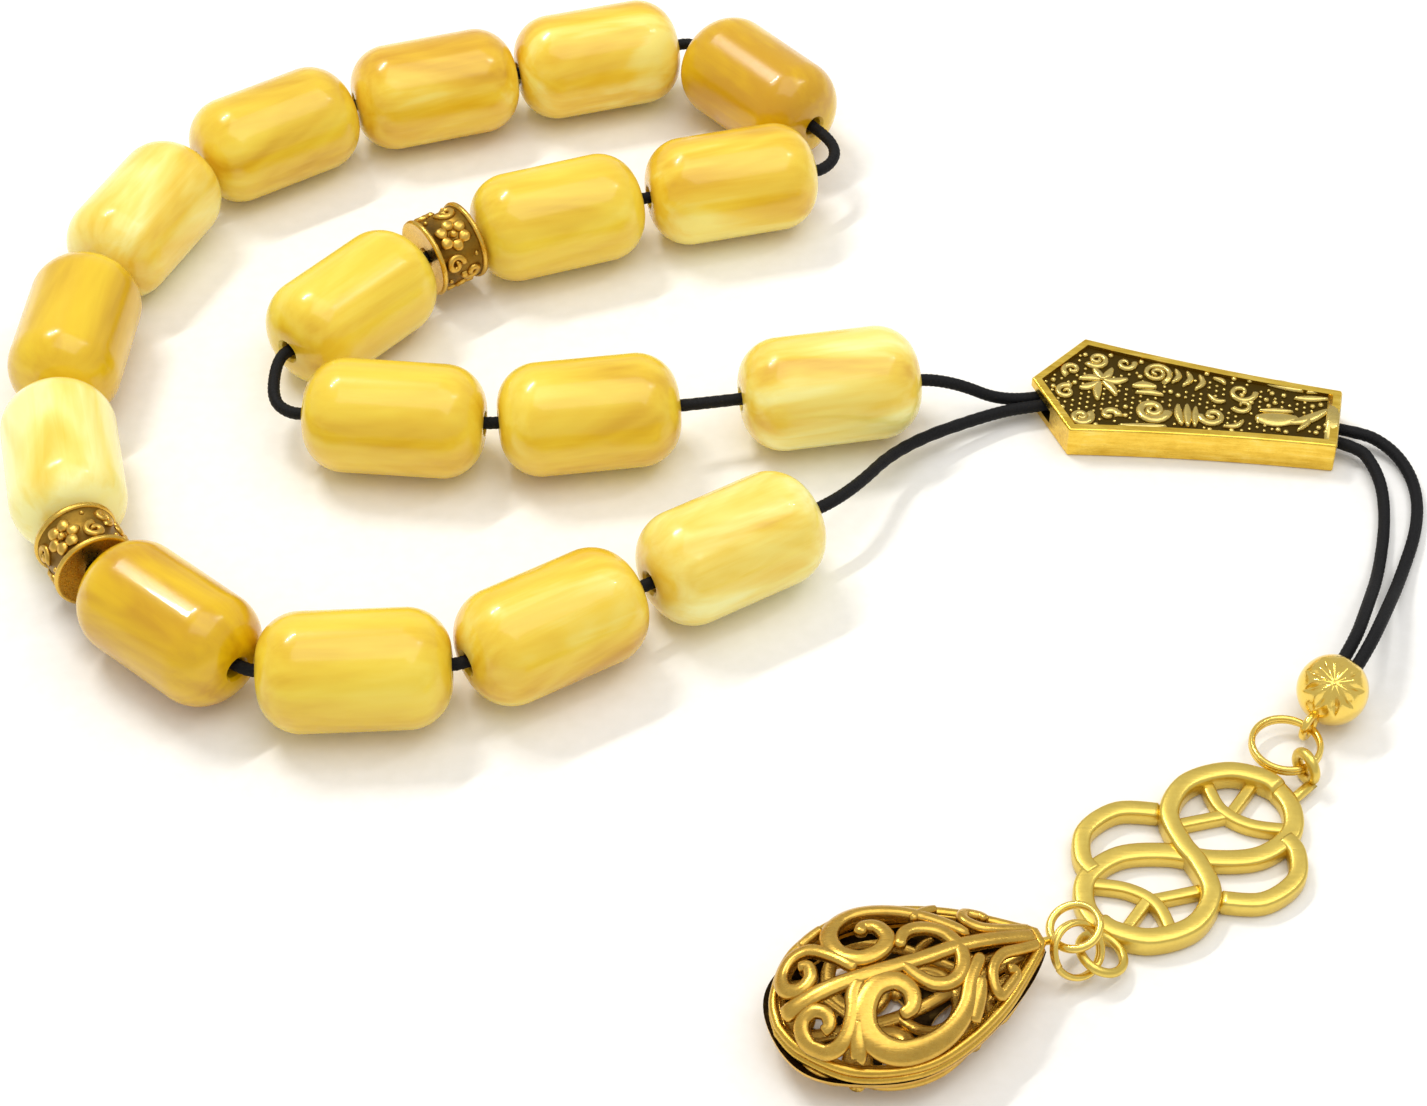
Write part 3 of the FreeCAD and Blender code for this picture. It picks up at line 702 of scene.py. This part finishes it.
def make_spacers():
    metal = gold_material("spacer_relief_gold", WORN_GOLD, PATINA_AND_SHADE, 0.9, 0.3, strip_relief)
    floor_metal = gold_material("spacer_drum_gold", ("#F8D468", "#DCB04A"), "#7A5820", 0.5, 0.26)
    dark = gold_material("spacer_band_floor", ("#B08A38", "#7A5A20"), PATINA_AND_SHADE, 0.8, 0.4)
    for name in ("spacer_1", "spacer_2"):
        axis = JOINT_AXIS[name]
        place = Matrix.Translation(node_centre(name)) @ axis.to_track_quat("X", "Z").to_matrix().to_4x4()
        drum = bmesh.new()
        lathe(drum, spacer_profile(), 72)
        for face in drum.faces:
            middle = face.calc_center_median()
            reach = math.hypot(middle.y, middle.z)
            if abs(middle.x) < SPACER_WIDTH / 2 - SPACER_RIM_WIDTH and reach > 3 * MM:
                face.material_index = 1
        bmesh.ops.transform(drum, matrix=place, verts=drum.verts)
        piece = new_piece(name + "_drum", drum, floor_metal, name, (name,))
        piece.data.materials.append(dark)
        relief = bmesh.new()
        spread = 2 * math.pi * SPACER_FLOOR / (2 * SPACER_MOTIFS)
        for motif in range(SPACER_MOTIFS):
            add_flower(relief, spread * 2 * motif)
            add_drum_scroll(relief, spread * (2 * motif + 1))
        bmesh.ops.transform(relief, matrix=place, verts=relief.verts)
        new_piece(name + "_relief", relief, metal, name)


# ---------------------------------------------------------------- guard bead

GUARD_THICKNESS = 3.8 * MM
GUARD_FIELD_DEPTH = 0.4 * MM
GUARD_SHOULDER = (4.9, 7.2)
GUARD_TAIL_HALF = 4.3
GUARD_RIM = 0.9
GUARD_DRAWING_LENGTH = 31.4
RELIEF_HEIGHT = 0.7 * MM
RELIEF_GAIN = 1.5
STIPPLE_PITCH = 0.78
STIPPLE_CLEARANCE = 0.55
STIPPLE_RADIUS = 0.2 * MM
PELLET_RADIUS = 0.33 * MM
PELLET_SQUASH = 0.9
GUARD_LIP_HALF = 4.1            # a raised lip runs across the tail
GUARD_LIP_INSET = 0.7 * MM
GUARD_LIP_DROP = 0.3 * MM
GUARD_LIP_WIDTH = 1.5 * MM
GUARD_LIP_HEIGHT = 1.0 * MM

# Scrolls on the guard bead, in millimetres from its tip: centre, radius, turns, start angle, width.
GUARD_SPIRALS = (
    ((6.3, 4.3), 1.15, 1.6, 200, 0.5), ((9.2, 4.3), 1.0, -1.1, 30, 0.5), ((3.9, 2.3), 1.0, -1.2, 250, 0.5),
    ((3.7, -1.2), 1.1, 1.3, 60, 0.5), ((5.6, -4.7), 1.15, -1.6, 60, 0.6), ((12.5, 3.4), 1.5, 2.0, 300, 0.45),
    ((12.6, -2.3), 1.65, -1.8, 20, 0.7), ((18.7, -2.0), 1.3, 1.4, 170, 0.6),
    ((21.3, 2.2), 1.5, -1.2, 20, 0.5), ((21.6, 0.2), 1.1, 1.0, 200, 0.45), ((8.4, -3.9), 1.0, 0.9, 0, 0.6),
)
# Open strokes: points and width.
GUARD_STROKES = (
    (((4.7, 1.0), (6.0, 1.5), (7.0, 1.2)), 0.7), (((6.0, 2.9), (6.7, 2.1), (7.1, 1.3)), 0.7),
    (((8.0, 3.3), (7.6, 2.2), (7.1, 1.3)), 0.7), (((9.8, 1.9), (8.5, 1.4), (7.2, 1.2)), 0.7),
    (((8.8, -0.9), (8.2, 0.3), (7.1, 1.1)), 0.7), (((7.0, -1.9), (6.8, -0.4), (7.0, 1.0)), 0.7),
    (((4.9, -0.4), (5.9, 0.1), (7.0, 1.0)), 0.7), (((10.2, 0.9), (11.4, 1.4), (12.8, 1.2)), 0.8),
    (((10.6, 0.0), (12.2, 0.4), (13.6, 0.1)), 0.6), (((14.3, 4.4), (14.8, 3.4), (14.2, 2.2)), 0.55),
    (((15.5, 4.3), (16.0, 3.2), (15.3, 1.9)), 0.55), (((16.8, 4.0), (17.3, 2.9), (16.6, 1.6)), 0.55),
    (((15.1, -0.9), (15.3, -2.4), (15.8, -4.0)), 0.7), (((16.0, -0.7), (16.2, -2.3), (16.4, -4.1)), 0.7),
    (((16.9, -0.9), (17.0, -2.4), (17.1, -4.0)), 0.6), (((9.4, -5.3), (12.0, -4.9), (14.4, -4.5)), 0.6),
    (((17.9, 1.2), (18.9, 0.4), (19.9, 0.5)), 0.5), (((18.2, 3.8), (19.2, 3.6), (19.6, 3.0)), 0.5),
    (((23.5, 4.2), (25.4, 4.2), (27.6, 3.6)), 0.9), (((27.8, 3.4), (29.0, 3.9), (30.0, 4.0)), 0.5),
    (((26.6, 2.3), (28.2, 2.6), (30.2, 2.9)), 0.6), (((22.9, -1.4), (25.0, -1.2), (27.4, -0.7)), 1.5),
    (((23.2, -0.3), (25.0, 0.1), (26.8, 0.2)), 0.5), (((26.4, -1.6), (28.4, -0.4), (30.3, 1.3)), 0.9),
    (((27.3, -2.6), (28.2, -1.2), (28.4, -0.3)), 0.5), (((19.8, -3.4), (21.2, -3.0), (21.9, -2.0)), 0.5),
)
# Pellets between the strokes.
GUARD_PELLETS = (
    (2.2, 0.4), (2.3, -0.6), (3.0, -3.0), (3.6, -3.6), (4.4, 0.4), (5.0, 4.9), (7.6, 5.3), (10.8, 4.9),
    (10.9, 2.6), (9.9, -2.3), (10.0, -3.6), (7.2, -5.6), (7.9, -6.0), (6.7, -6.4), (14.2, 0.9), (15.0, 0.5),
    (13.9, -3.3), (18.6, -4.1), (19.6, -4.3), (20.8, -3.8), (21.3, -4.2), (22.4, 0.9), (23.9, 1.6),
    (24.8, 1.3), (24.2, 0.7), (25.6, 2.6), (24.4, 2.7), (25.4, -2.7), (26.2, -2.9), (29.4, -1.6),
    (30.1, -1.1), (30.2, -2.1), (29.2, -2.4), (28.6, 1.5), (29.4, 1.9), (17.6, 4.4), (20.4, 4.2),
    (22.0, 4.2), (21.4, 1.8), (29.2, 0.0),
)


def guard_place():
    return Matrix.Translation(GUARD_TIP) @ Matrix.Rotation(math.radians(GUARD_HEADING), 4, "Z")


def guard_metal():
    """Dark patina on the sunk field's floor, which is the only level face below the rim."""
    nodes = Nodes("guard_cast_gold")
    coordinates = nodes.add("ShaderNodeTexCoord")
    height = nodes.add("ShaderNodeSeparateXYZ", {"Vector": coordinates.outputs["Object"]}).outputs["Z"]
    upward = nodes.add("ShaderNodeSeparateXYZ", {"Vector": coordinates.outputs["Normal"]}).outputs["Z"]
    level = nodes.math("GREATER_THAN", upward, 0.9)
    low = nodes.math("LESS_THAN", height, GUARD_THICKNESS - GUARD_FIELD_DEPTH / 2)
    inside = nodes.math("MULTIPLY", level, low)
    where = nodes.place().outputs["Vector"]
    cloud = nodes.noise(where, 0.45, 5, 0.65)
    scratch_at = nodes.add("ShaderNodeMapping", {
        "Vector": where, "Rotation": (0, 0, math.radians(GUARD_HEADING)), "Scale": (9.0, 0.6, 0.5),
    }, vector_type="TEXTURE")
    scratches = nodes.noise(scratch_at.outputs["Vector"], 0.9, 5, 0.7)
    wear = nodes.math("ADD", nodes.math("MULTIPLY", cloud, 0.4), nodes.math("MULTIPLY", scratches, 0.6))
    worn = nodes.ramp(wear, [
        (0.28, colour("#7E5F1C")), (0.38, colour("#E0B53C")),
        (0.55, colour("#F8D358")), (0.78, colour("#FFEA92")),
    ])
    dull = nodes.math("ADD", nodes.math("MULTIPLY", inside, 0.25), nodes.math("MULTIPLY", scratches, 0.5))
    nodes.set(
        Base_Color=nodes.mix(inside, worn, colour("#4A3A14")),
        Metallic=1.0,
        Roughness=dull,
    )
    nodes.bump(nodes.math("ADD", scratches, cloud), 0.06 * MM, 0.5)
    return nodes.material


def guard_half_width(x):
    """Half the field's width at a distance from the tip, in millimetres."""
    shoulder, widest = GUARD_SHOULDER
    if x < shoulder:
        half = widest * x / shoulder
    else:
        half = widest + (GUARD_TAIL_HALF - widest) * (x - shoulder) / (GUARD_LENGTH / MM - shoulder)
    return half - 2 * GUARD_RIM


def add_stipple(mesh, drawn, level):
    """Small pellets over the ground wherever nothing else is drawn."""
    rows = int(GUARD_LENGTH / MM / STIPPLE_PITCH)
    for i in range(2, rows - 2):
        x = i * STIPPLE_PITCH
        half = guard_half_width(x)
        for j in range(-9, 10):
            y = (j + 0.5 * (i % 2)) * STIPPLE_PITCH
            spot = Vector((x, y))
            if abs(y) < half and all((spot - other).length > STIPPLE_CLEARANCE for other in drawn):
                add_pellet(mesh, Vector((x * MM, y * MM, level)), STIPPLE_RADIUS, PELLET_SQUASH)


def make_guard_bead():
    set_material("guard_bead", guard_metal())
    relief = bmesh.new()
    level = GUARD_THICKNESS - GUARD_FIELD_DEPTH + 0.05 * MM
    stretch = GUARD_LENGTH / MM / GUARD_DRAWING_LENGTH
    drawn = []

    def lay(points, width_at):
        placed = [Vector((p.x * stretch, p.y)) for p in points]
        drawn.extend(placed)
        path = [Vector((p.x * MM, p.y * MM, level)) for p in placed]
        add_strip(relief, path, [Vector((0, 0, 1))] * len(path), width_at, RELIEF_HEIGHT)

    for centre, radius, turns, start, width in GUARD_SPIRALS:
        full = width * RELIEF_GAIN * MM
        lay(spiral(centre, radius, turns, start, 0.1, 30), lambda share: full * (1.1 - 0.5 * share))
    for points, width in GUARD_STROKES:
        full = width * RELIEF_GAIN * MM
        curve = through([Vector(p) for p in points], 6)
        lay(curve, lambda share: full * (0.25 + 0.75 * math.sin(math.pi * share)))
    for x, y in GUARD_PELLETS:
        drawn.append(Vector((x * stretch, y)))
        add_pellet(relief, Vector((x * stretch * MM, y * MM, level)), PELLET_RADIUS, PELLET_SQUASH)
    add_stipple(relief, drawn, level)
    lip = [
        Vector((GUARD_LENGTH - GUARD_LIP_INSET, y * MM, GUARD_THICKNESS - GUARD_LIP_DROP))
        for y in (-GUARD_LIP_HALF, 0, GUARD_LIP_HALF)
    ]
    add_strip(relief, lip, [Vector((0, 0, 1))] * 3, lambda share: GUARD_LIP_WIDTH, GUARD_LIP_HEIGHT, 0.8)
    bmesh.ops.transform(relief, matrix=guard_place(), verts=relief.verts)
    metal = gold_material("guard_relief_gold", ("#FFEB9A", "#EDCB62"), PATINA_AND_SHADE, 0.4, 0.24, strip_relief)
    new_piece("guard_bead_relief", relief, metal, "guard_bead")


# ---------------------------------------------------------------- ball and rings

BALL_EYE_REACH = 4.4 * MM
BALL_EYE_RADIUS = 1.15 * MM
BALL_EYE_WIRE = 0.4 * MM
STAR_CENTRE = Vector((-0.12, -0.48, 0.87)).normalized()
STAR_PETALS = 9
STAR_REACH = math.radians(62)
STAR_DEPTH = 0.42 * MM
STAR_HALF_PETAL = 0.19          # radians, at the widest place
BALL_MOUTH_ANGLE = 0.46         # the ball is pressed in round the cord's hole, this many radians out
BALL_MOUTH_DEPTH = 0.6 * MM

RING_WIRE = 0.32 * MM
RING_COIL_OFFSET = 0.22 * MM
UPPER_RING_RADIUS = 3.3 * MM
LOWER_RING_CENTRE = Vector((36.6, -58.7, 3.1)) * MM
LOWER_RING_NORMAL = Vector((-0.43, 0.59, -0.68)).normalized()
LOWER_RING_RADIUS = 2.5 * MM


def petal_depth(direction):
    """How deep the star's leaf-shaped cuts are at a place on the ball."""
    cosine = max(-1.0, min(1.0, direction.dot(STAR_CENTRE)))
    polar = math.acos(cosine)
    if not 0.02 < polar < STAR_REACH:
        return 0.0
    east = Vector((0, 0, 1)).cross(STAR_CENTRE).normalized()
    north = STAR_CENTRE.cross(east)
    turn = math.atan2(direction.dot(north), direction.dot(east)) * STAR_PETALS / (2 * math.pi)
    off = abs(turn - round(turn)) * 2 * math.pi / STAR_PETALS * math.sin(polar)
    share = polar / STAR_REACH
    half = STAR_HALF_PETAL * math.sin(math.pi * share ** 0.8) + 0.01
    return STAR_DEPTH * max(0.0, 1 - off / half) * min(1.0, 3 * (1 - share))


def circle_path(centre, normal, radius, steps=48):
    side = normal.orthogonal().normalized()
    other = normal.normalized().cross(side)
    points = []
    for k in range(steps):
        angle = 2 * math.pi * k / steps
        points.append(centre + radius * (side * math.cos(angle) + other * math.sin(angle)))
    return points


def add_wire_ring(mesh, centre, normal, radius, wire):
    path = circle_path(centre, normal, radius)
    add_strip(mesh, path, [normal] * len(path), lambda share: 2 * wire, 2 * wire, 1.0, 14, True)


def make_ball():
    mesh = bmesh.new()
    bmesh.ops.create_icosphere(mesh, subdivisions=6, radius=1)
    axis = ball_axis()
    for vertex in mesh.verts:
        direction = vertex.co.normalized()
        radius = BALL_RADIUS - petal_depth(direction)
        hole = math.acos(max(-1.0, min(1.0, direction.dot(-axis))))
        if hole < BALL_MOUTH_ANGLE:
            radius -= BALL_MOUTH_DEPTH * (1 - (hole / BALL_MOUTH_ANGLE) ** 4)
        vertex.co = BALL_CENTRE + direction * radius
    for face in mesh.faces:
        face.smooth = True
    across = Vector((0, 0, 1)).cross(axis).normalized()
    add_wire_ring(mesh, BALL_CENTRE + axis * BALL_EYE_REACH, across, BALL_EYE_RADIUS, BALL_EYE_WIRE)
    metal = gold_material("ball_gold", BRIGHT_GOLD, "#C0902E", 0.25, 0.14)
    new_piece("ball_star", mesh, metal, "ball", ("ball",))


def helix(centre, normal, radius):
    """Two turns of a split ring, which step over to the next turn within a short stretch."""
    side = normal.orthogonal().normalized()
    other = normal.cross(side)
    points = []
    steps = 112
    for i in range(steps + 1):
        angle = 4 * math.pi * i / steps
        rise = max(-1.0, min(1.0, (i / steps - 0.5) * 8)) * RING_COIL_OFFSET
        points.append(centre + radius * (side * math.cos(angle) + other * math.sin(angle)) + normal * rise)
    return points


def upper_ring_centre():
    low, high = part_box("ring_upper")
    return (low + high) / 2


def make_rings():
    metal = gold_material("ring_gold", BRIGHT_GOLD, "#8A6122", 0.3, 0.2)
    rings = (
        ("ring_upper", upper_ring_centre(), Vector((0, 0, 1)), UPPER_RING_RADIUS),
        ("ring_lower", LOWER_RING_CENTRE, LOWER_RING_NORMAL, LOWER_RING_RADIUS),
    )
    for name, centre, normal, radius in rings:
        mesh = bmesh.new()
        path = helix(centre, normal, radius)
        add_strip(mesh, path, [normal] * len(path), lambda share: 2 * RING_WIRE, 2 * RING_WIRE, 1.0, 12)
        new_piece(name + "_coil", mesh, metal, name, (name,))


# ---------------------------------------------------------------- link

LINK_CENTRE = Vector((48.25, -46.35, 0)) * MM
LINK_HEADING = 45.4
LINK_HALF_LENGTH = 13.3
LINK_THICKNESS = 2.0 * MM
LINK_CORNER = LINK_HALF_LENGTH - 1.2
LINK_CROSSING = 1.2             # the bands' ends lie this far to each side of the corner
LINK_FOOT_ROOT = LINK_HALF_LENGTH - 1
LINK_STROKE = 2.0               # widths of the bands
LINK_LOBE_STROKE = 1.8
LINK_CRESCENT_STROKE = 1.3
LINK_TIE_STROKE = 1.2
LINK_FRONT_BAND = (
    (LINK_CORNER, -LINK_CROSSING), (12.0, 0.8), (10.2, 3.8), (6.3, 5.6), (2.4, 4.5), (0.4, 1.3),
)
LINK_BACK_BAND = (
    (LINK_CORNER - 0.3, LINK_CROSSING), (12.2, -0.8), (11.2, -3.4), (8.6, -5.2), (4.6, -4.7), (1.2, -1.8),
)
LINK_LOBE = ((2.2, 5.2), (-0.6, 8.3), (-4.6, 8.9), (-7.3, 7.0), (-7.9, 5.0))
LINK_CRESCENT = ((8.4, 4.9), (6.6, 1.6), (7.0, -1.6), (9.2, -4.8))
LINK_SPUR = ((11.8, 1.4), (9.2, 0.9), (6.4, 0.4))
LINK_TIE = ((6.9, 0.4), (4.5, 1.9), (2.2, 3.3))
LINK_NECK_ROOT = (11.5, -2.6)
LINK_EYE_ON_RING = -62
LINK_EYE_HEIGHT = 2.0 * MM
LINK_EYE_RADIUS = 1.4 * MM
LINK_EYE_WIRE = 0.55 * MM
LINK_FOOT_CENTRE = Vector((38.95, -58.3, 2.05)) * MM
LINK_FOOT_NORMAL = Vector((0.35, 0.05, 0.94)).normalized()
LINK_FOOT_RADIUS = 2.2 * MM
LINK_FOOT_WIRE = 0.45 * MM


def turned(points):
    return tuple((-x, -y) for x, y in points)


def add_bar(mesh, start, end, radius):
    path = [start.lerp(end, step / 4) for step in range(5)]
    add_strip(mesh, path, [Vector((0, 0, 1))] * 5, lambda share: 2 * radius, 2 * radius)


def add_link_eyes(mesh, place):
    """The upright eye on the upper ring and the larger one at the foot, each on a short neck."""
    outward = along(LINK_EYE_ON_RING)
    eye = upper_ring_centre() + outward * UPPER_RING_RADIUS
    eye.z = LINK_EYE_HEIGHT
    add_wire_ring(mesh, eye, along(LINK_EYE_ON_RING + 90), LINK_EYE_RADIUS, LINK_EYE_WIRE)
    start = eye + outward * LINK_EYE_RADIUS
    start.z = LINK_THICKNESS / 2
    root = place @ Vector((LINK_NECK_ROOT[0] * MM, LINK_NECK_ROOT[1] * MM, LINK_THICKNESS / 2))
    add_bar(mesh, start, root, LINK_EYE_WIRE)
    add_wire_ring(mesh, LINK_FOOT_CENTRE, LINK_FOOT_NORMAL, LINK_FOOT_RADIUS, LINK_FOOT_WIRE)
    corner = place @ Vector((-LINK_FOOT_ROOT * MM, 0, LINK_THICKNESS / 2))
    inward = corner - LINK_FOOT_CENTRE
    inward.z = 0
    add_bar(mesh, LINK_FOOT_CENTRE + inward.normalized() * LINK_FOOT_RADIUS, corner, LINK_FOOT_WIRE)


def make_link():
    mesh = bmesh.new()
    place = Matrix.Translation(LINK_CENTRE) @ Matrix.Rotation(math.radians(LINK_HEADING), 4, "Z")

    def lay(points, width, top):
        """A band through the points, from the table up to top."""
        line = through([Vector(p) for p in points], 7)
        path = [place @ Vector((p.x * MM, p.y * MM, top / 2)) for p in line]
        ups = [Vector((0, 0, 1))] * len(path)
        add_strip(mesh, path, ups, lambda share: width * MM, top, 0.45, 20)

    front = LINK_FRONT_BAND + turned(LINK_FRONT_BAND)[::-1]
    back = LINK_BACK_BAND + turned(LINK_BACK_BAND)[::-1]
    lay(front, LINK_STROKE, LINK_THICKNESS + 0.3 * MM)
    lay(back, LINK_STROKE, LINK_THICKNESS - 0.25 * MM)
    for half in (tuple, turned):
        lay(half(LINK_LOBE), LINK_LOBE_STROKE, LINK_THICKNESS - 0.1 * MM)
        lay(half(LINK_CRESCENT), LINK_CRESCENT_STROKE, LINK_THICKNESS - 0.5 * MM)
        lay(half(LINK_SPUR), LINK_TIE_STROKE, LINK_THICKNESS - 0.6 * MM)
        lay(half(LINK_TIE), LINK_TIE_STROKE, LINK_THICKNESS - 0.6 * MM)
    add_link_eyes(mesh, place)
    metal = gold_material("link_satin_gold", PALE_GOLD, "#B58A2E", 0.3, 0.3)
    new_piece("link_bands", mesh, metal, "link", ("link",))


# ---------------------------------------------------------------- filigree drop

DROP_HALF_WIDTH = 9.0
DROP_HALF_THICKNESS = 4.5
DROP_RIM_HALF_HEIGHT = 0.9
DROP_TIP = Vector((33.4, -58.6, 4.6)) * MM
DROP_HEADING = 202.5
DROP_OUTLINE = ((0.0, 0.8), (5.9, 5.5), (11.5, 8.2), (16.5, 9.0), (22.2, 7.2), (25.8, 3.2), (26.7, 0.0))

# Scrollwork, in millimetres from the drop's tip: points, width at the start, in the middle and at the end.
DROP_SCROLLS = (
    (((0.6, 0.0), (4.6, -0.2), (8.3, -0.2), (12.2, 0.2), (15.6, 0.2), (18.5, 0.0), (21.7, -0.2),
      (26.2, -0.1)), 1.2, 1.2, 1.4),
    (((18.5, 0.1), (19.7, 1.4), (20.4, 3.0), (21.6, 4.6), (23.1, 5.3), (24.6, 4.6), (25.2, 2.9), (24.7, 1.5),
      (23.5, 1.2), (22.6, 2.1), (22.8, 3.2), (23.6, 3.4)), 1.1, 1.2, 0.9),
    (((6.8, -1.2), (9.9, -4.7), (12.5, -6.8), (15.4, -7.9), (17.7, -7.3), (19.0, -5.6), (19.0, -3.4),
      (17.6, -1.9), (15.6, -1.9), (14.3, -3.1), (14.5, -4.8), (15.6, -5.4), (16.4, -4.6)), 0.9, 1.4, 0.9),
    (((18.3, -0.9), (19.6, -3.3), (21.2, -5.3), (23.1, -5.4), (24.5, -4.1), (24.7, -2.4), (23.7, -1.5),
      (22.4, -2.0), (22.0, -3.4), (22.8, -3.9)), 0.9, 1.2, 0.8),
    (((13.8, -1.6), (12.6, -3.1), (10.9, -3.3), (9.2, -2.2), (8.5, 0.1), (9.2, 2.2), (10.7, 3.3), (12.4, 3.1),
      (13.6, 1.8), (14.4, 0.0)), 0.9, 1.2, 0.9),
    (((6.7, 1.1), (8.8, 3.3), (10.4, 5.8), (12.4, 7.4), (14.8, 8.2), (17.4, 8.1), (19.2, 7.0), (20.0, 5.1),
      (19.3, 3.0), (17.6, 1.5), (15.7, 1.6), (14.8, 3.0), (15.3, 4.6), (16.7, 5.0)), 0.9, 1.9, 0.9),
    (((20.2, 3.9), (21.0, 5.6), (21.7, 7.3)), 0.7, 1.3, 1.0),
    (((7.9, 3.5), (8.9, 5.2), (10.3, 7.3)), 0.6, 1.2, 0.9),
    (((0.7, 1.0), (2.8, 1.3), (4.9, 1.6), (6.5, 3.0), (7.0, 4.8), (6.2, 5.5), (4.6, 4.6), (4.3, 3.4),
      (5.1, 3.1)), 0.8, 0.9, 0.7),
    (((0.8, -1.0), (3.1, -1.2), (5.4, -1.8), (6.5, -3.2), (5.9, -4.3), (4.7, -3.8), (4.4, -2.9)),
     0.8, 0.9, 0.7),
    (((8.2, -5.6), (9.6, -5.4), (11.2, -4.6)), 0.5, 0.8, 0.6),
    (((18.9, -7.5), (20.4, -7.0), (21.6, -6.4)), 0.6, 0.8, 0.6),
)
DROP_WIRE_HEIGHT = 1.1
DROP_WIDTH_GAIN = 1.3
DROP_BACK_LIFT = 0.35
DROP_TABLE_GAP = 0.02 * MM      # the lowest scrolls are pressed flat here, or they would go through the table
DROP_MIDDLE = 13.3
DROP_RIDGE_WIDTH = 1.0 * MM
# Ridges of the seam band: height of the middle, distance in from the outline, and thickness.
DROP_RIDGES = ((0.52, 0.42, 0.85), (-0.52, 0.42, 0.85), (0.0, 0.75, 1.5))


def drop_half_width(x):
    """The outline's half width at a distance from the tip, all in millimetres."""
    line = through([Vector(p) for p in DROP_OUTLINE], 10)
    for a, b in zip(line, line[1:]):
        if a.x <= x <= b.x:
            share = (x - a.x) / max(b.x - a.x, 1e-9)
            return a.y + (b.y - a.y) * share
    return 0.0


def dome(x, y, side):
    half = drop_half_width(x)
    rise = math.sqrt(max(half ** 2 - y ** 2, 0.0)) / DROP_HALF_WIDTH
    height = DROP_RIM_HALF_HEIGHT + (DROP_HALF_THICKNESS - DROP_RIM_HALF_HEIGHT) * rise
    return Vector((x, y, side * height))


def dome_up(x, y, side):
    step = 0.15
    one = dome(x + step, y, side) - dome(x - step, y, side)
    other = dome(x, y + step, side) - dome(x, y - step, side)
    up = one.cross(other).normalized()
    return up if up.z * side > 0 else -up


def drop_place():
    return Matrix.Translation(DROP_TIP) @ Matrix.Rotation(math.radians(DROP_HEADING), 4, "Z")


def width_along(start, middle, end):
    def width(share):
        if share < 0.5:
            value = start + (middle - start) * math.sin(math.pi * share)
        else:
            value = end + (middle - end) * math.sin(math.pi * share)
        return value * DROP_WIDTH_GAIN * MM * rounded_tip(share, 0.03)
    return width


def make_drop_side(side, name, replaced, lift, metal):
    """The scrolls of one side; lift raises them off the shell."""
    mesh = bmesh.new()
    for points, start, middle, end in DROP_SCROLLS:
        line = through([Vector(p) for p in points], 7)
        path = []
        ups = []
        for p in line:
            limit = max(drop_half_width(p.x) - 0.5, 0.1)
            y = max(-limit, min(limit, p.y))
            up = dome_up(p.x, y, side)
            path.append((dome(p.x, y, side) - up * (DROP_WIRE_HEIGHT / 2 - lift)) * MM)
            ups.append(up)
        add_strip(mesh, path, ups, width_along(start, middle, end), DROP_WIRE_HEIGHT * MM, 0.8)
    bmesh.ops.transform(mesh, matrix=drop_place(), verts=mesh.verts)
    for vertex in mesh.verts:
        vertex.co.z = max(vertex.co.z, DROP_TABLE_GAP)
    new_piece(name, mesh, metal, "drop", replaced)


def make_drop_rim(metal):
    """A seam band of two ridges, and a lower one between them, that run all the way round."""
    mesh = bmesh.new()
    edge = through([Vector(p) for p in DROP_OUTLINE], 8)
    outline = edge + [Vector((p.x, -p.y)) for p in reversed(edge[:-1])]
    for z, inset, height in DROP_RIDGES:
        path = []
        for p in outline:
            shrink = 1 - inset / DROP_HALF_WIDTH
            path.append(Vector((DROP_MIDDLE + (p.x - DROP_MIDDLE) * shrink, p.y * shrink, z)) * MM)
        ups = [Vector((0, 0, 1))] * len(path)
        add_strip(mesh, path, ups, lambda share: DROP_RIDGE_WIDTH, height * MM, 1.0, 12, True)
    bmesh.ops.transform(mesh, matrix=drop_place(), verts=mesh.verts)
    new_piece("drop_seam", mesh, metal, "drop", ("drop_rim",))


def make_drop():
    scrolls = gold_material("drop_scroll_gold", WORN_GOLD, PATINA_AND_SHADE, 0.5, 0.26, strip_relief)
    seam = gold_material("drop_seam_gold", ("#F2CC5E", "#D5A43C"), "#7A5418", 0.6, 0.24)
    make_drop_side(1, "drop_scrolls_front", ("drop_front",), 0, scrolls)
    make_drop_side(-1, "drop_scrolls_back", (), DROP_BACK_LIFT, scrolls)
    make_drop_rim(seam)
    # the shell's inside is painted near black (#1E1408) as shade
    set_material("drop_back", gold_material("drop_shell_gold", WORN_GOLD, "#1E1408", 0.3, 0.3, shell_painted_shade))
    set_material("drop_bail", gold_material("drop_bail_gold", BRIGHT_GOLD, "#8A6122", 0.3, 0.2))


make_camera()
make_lights()
make_floor()
finish_beads()
make_cord()
make_spacers()
make_guard_bead()
make_ball()
make_rings()
make_link()
make_drop()
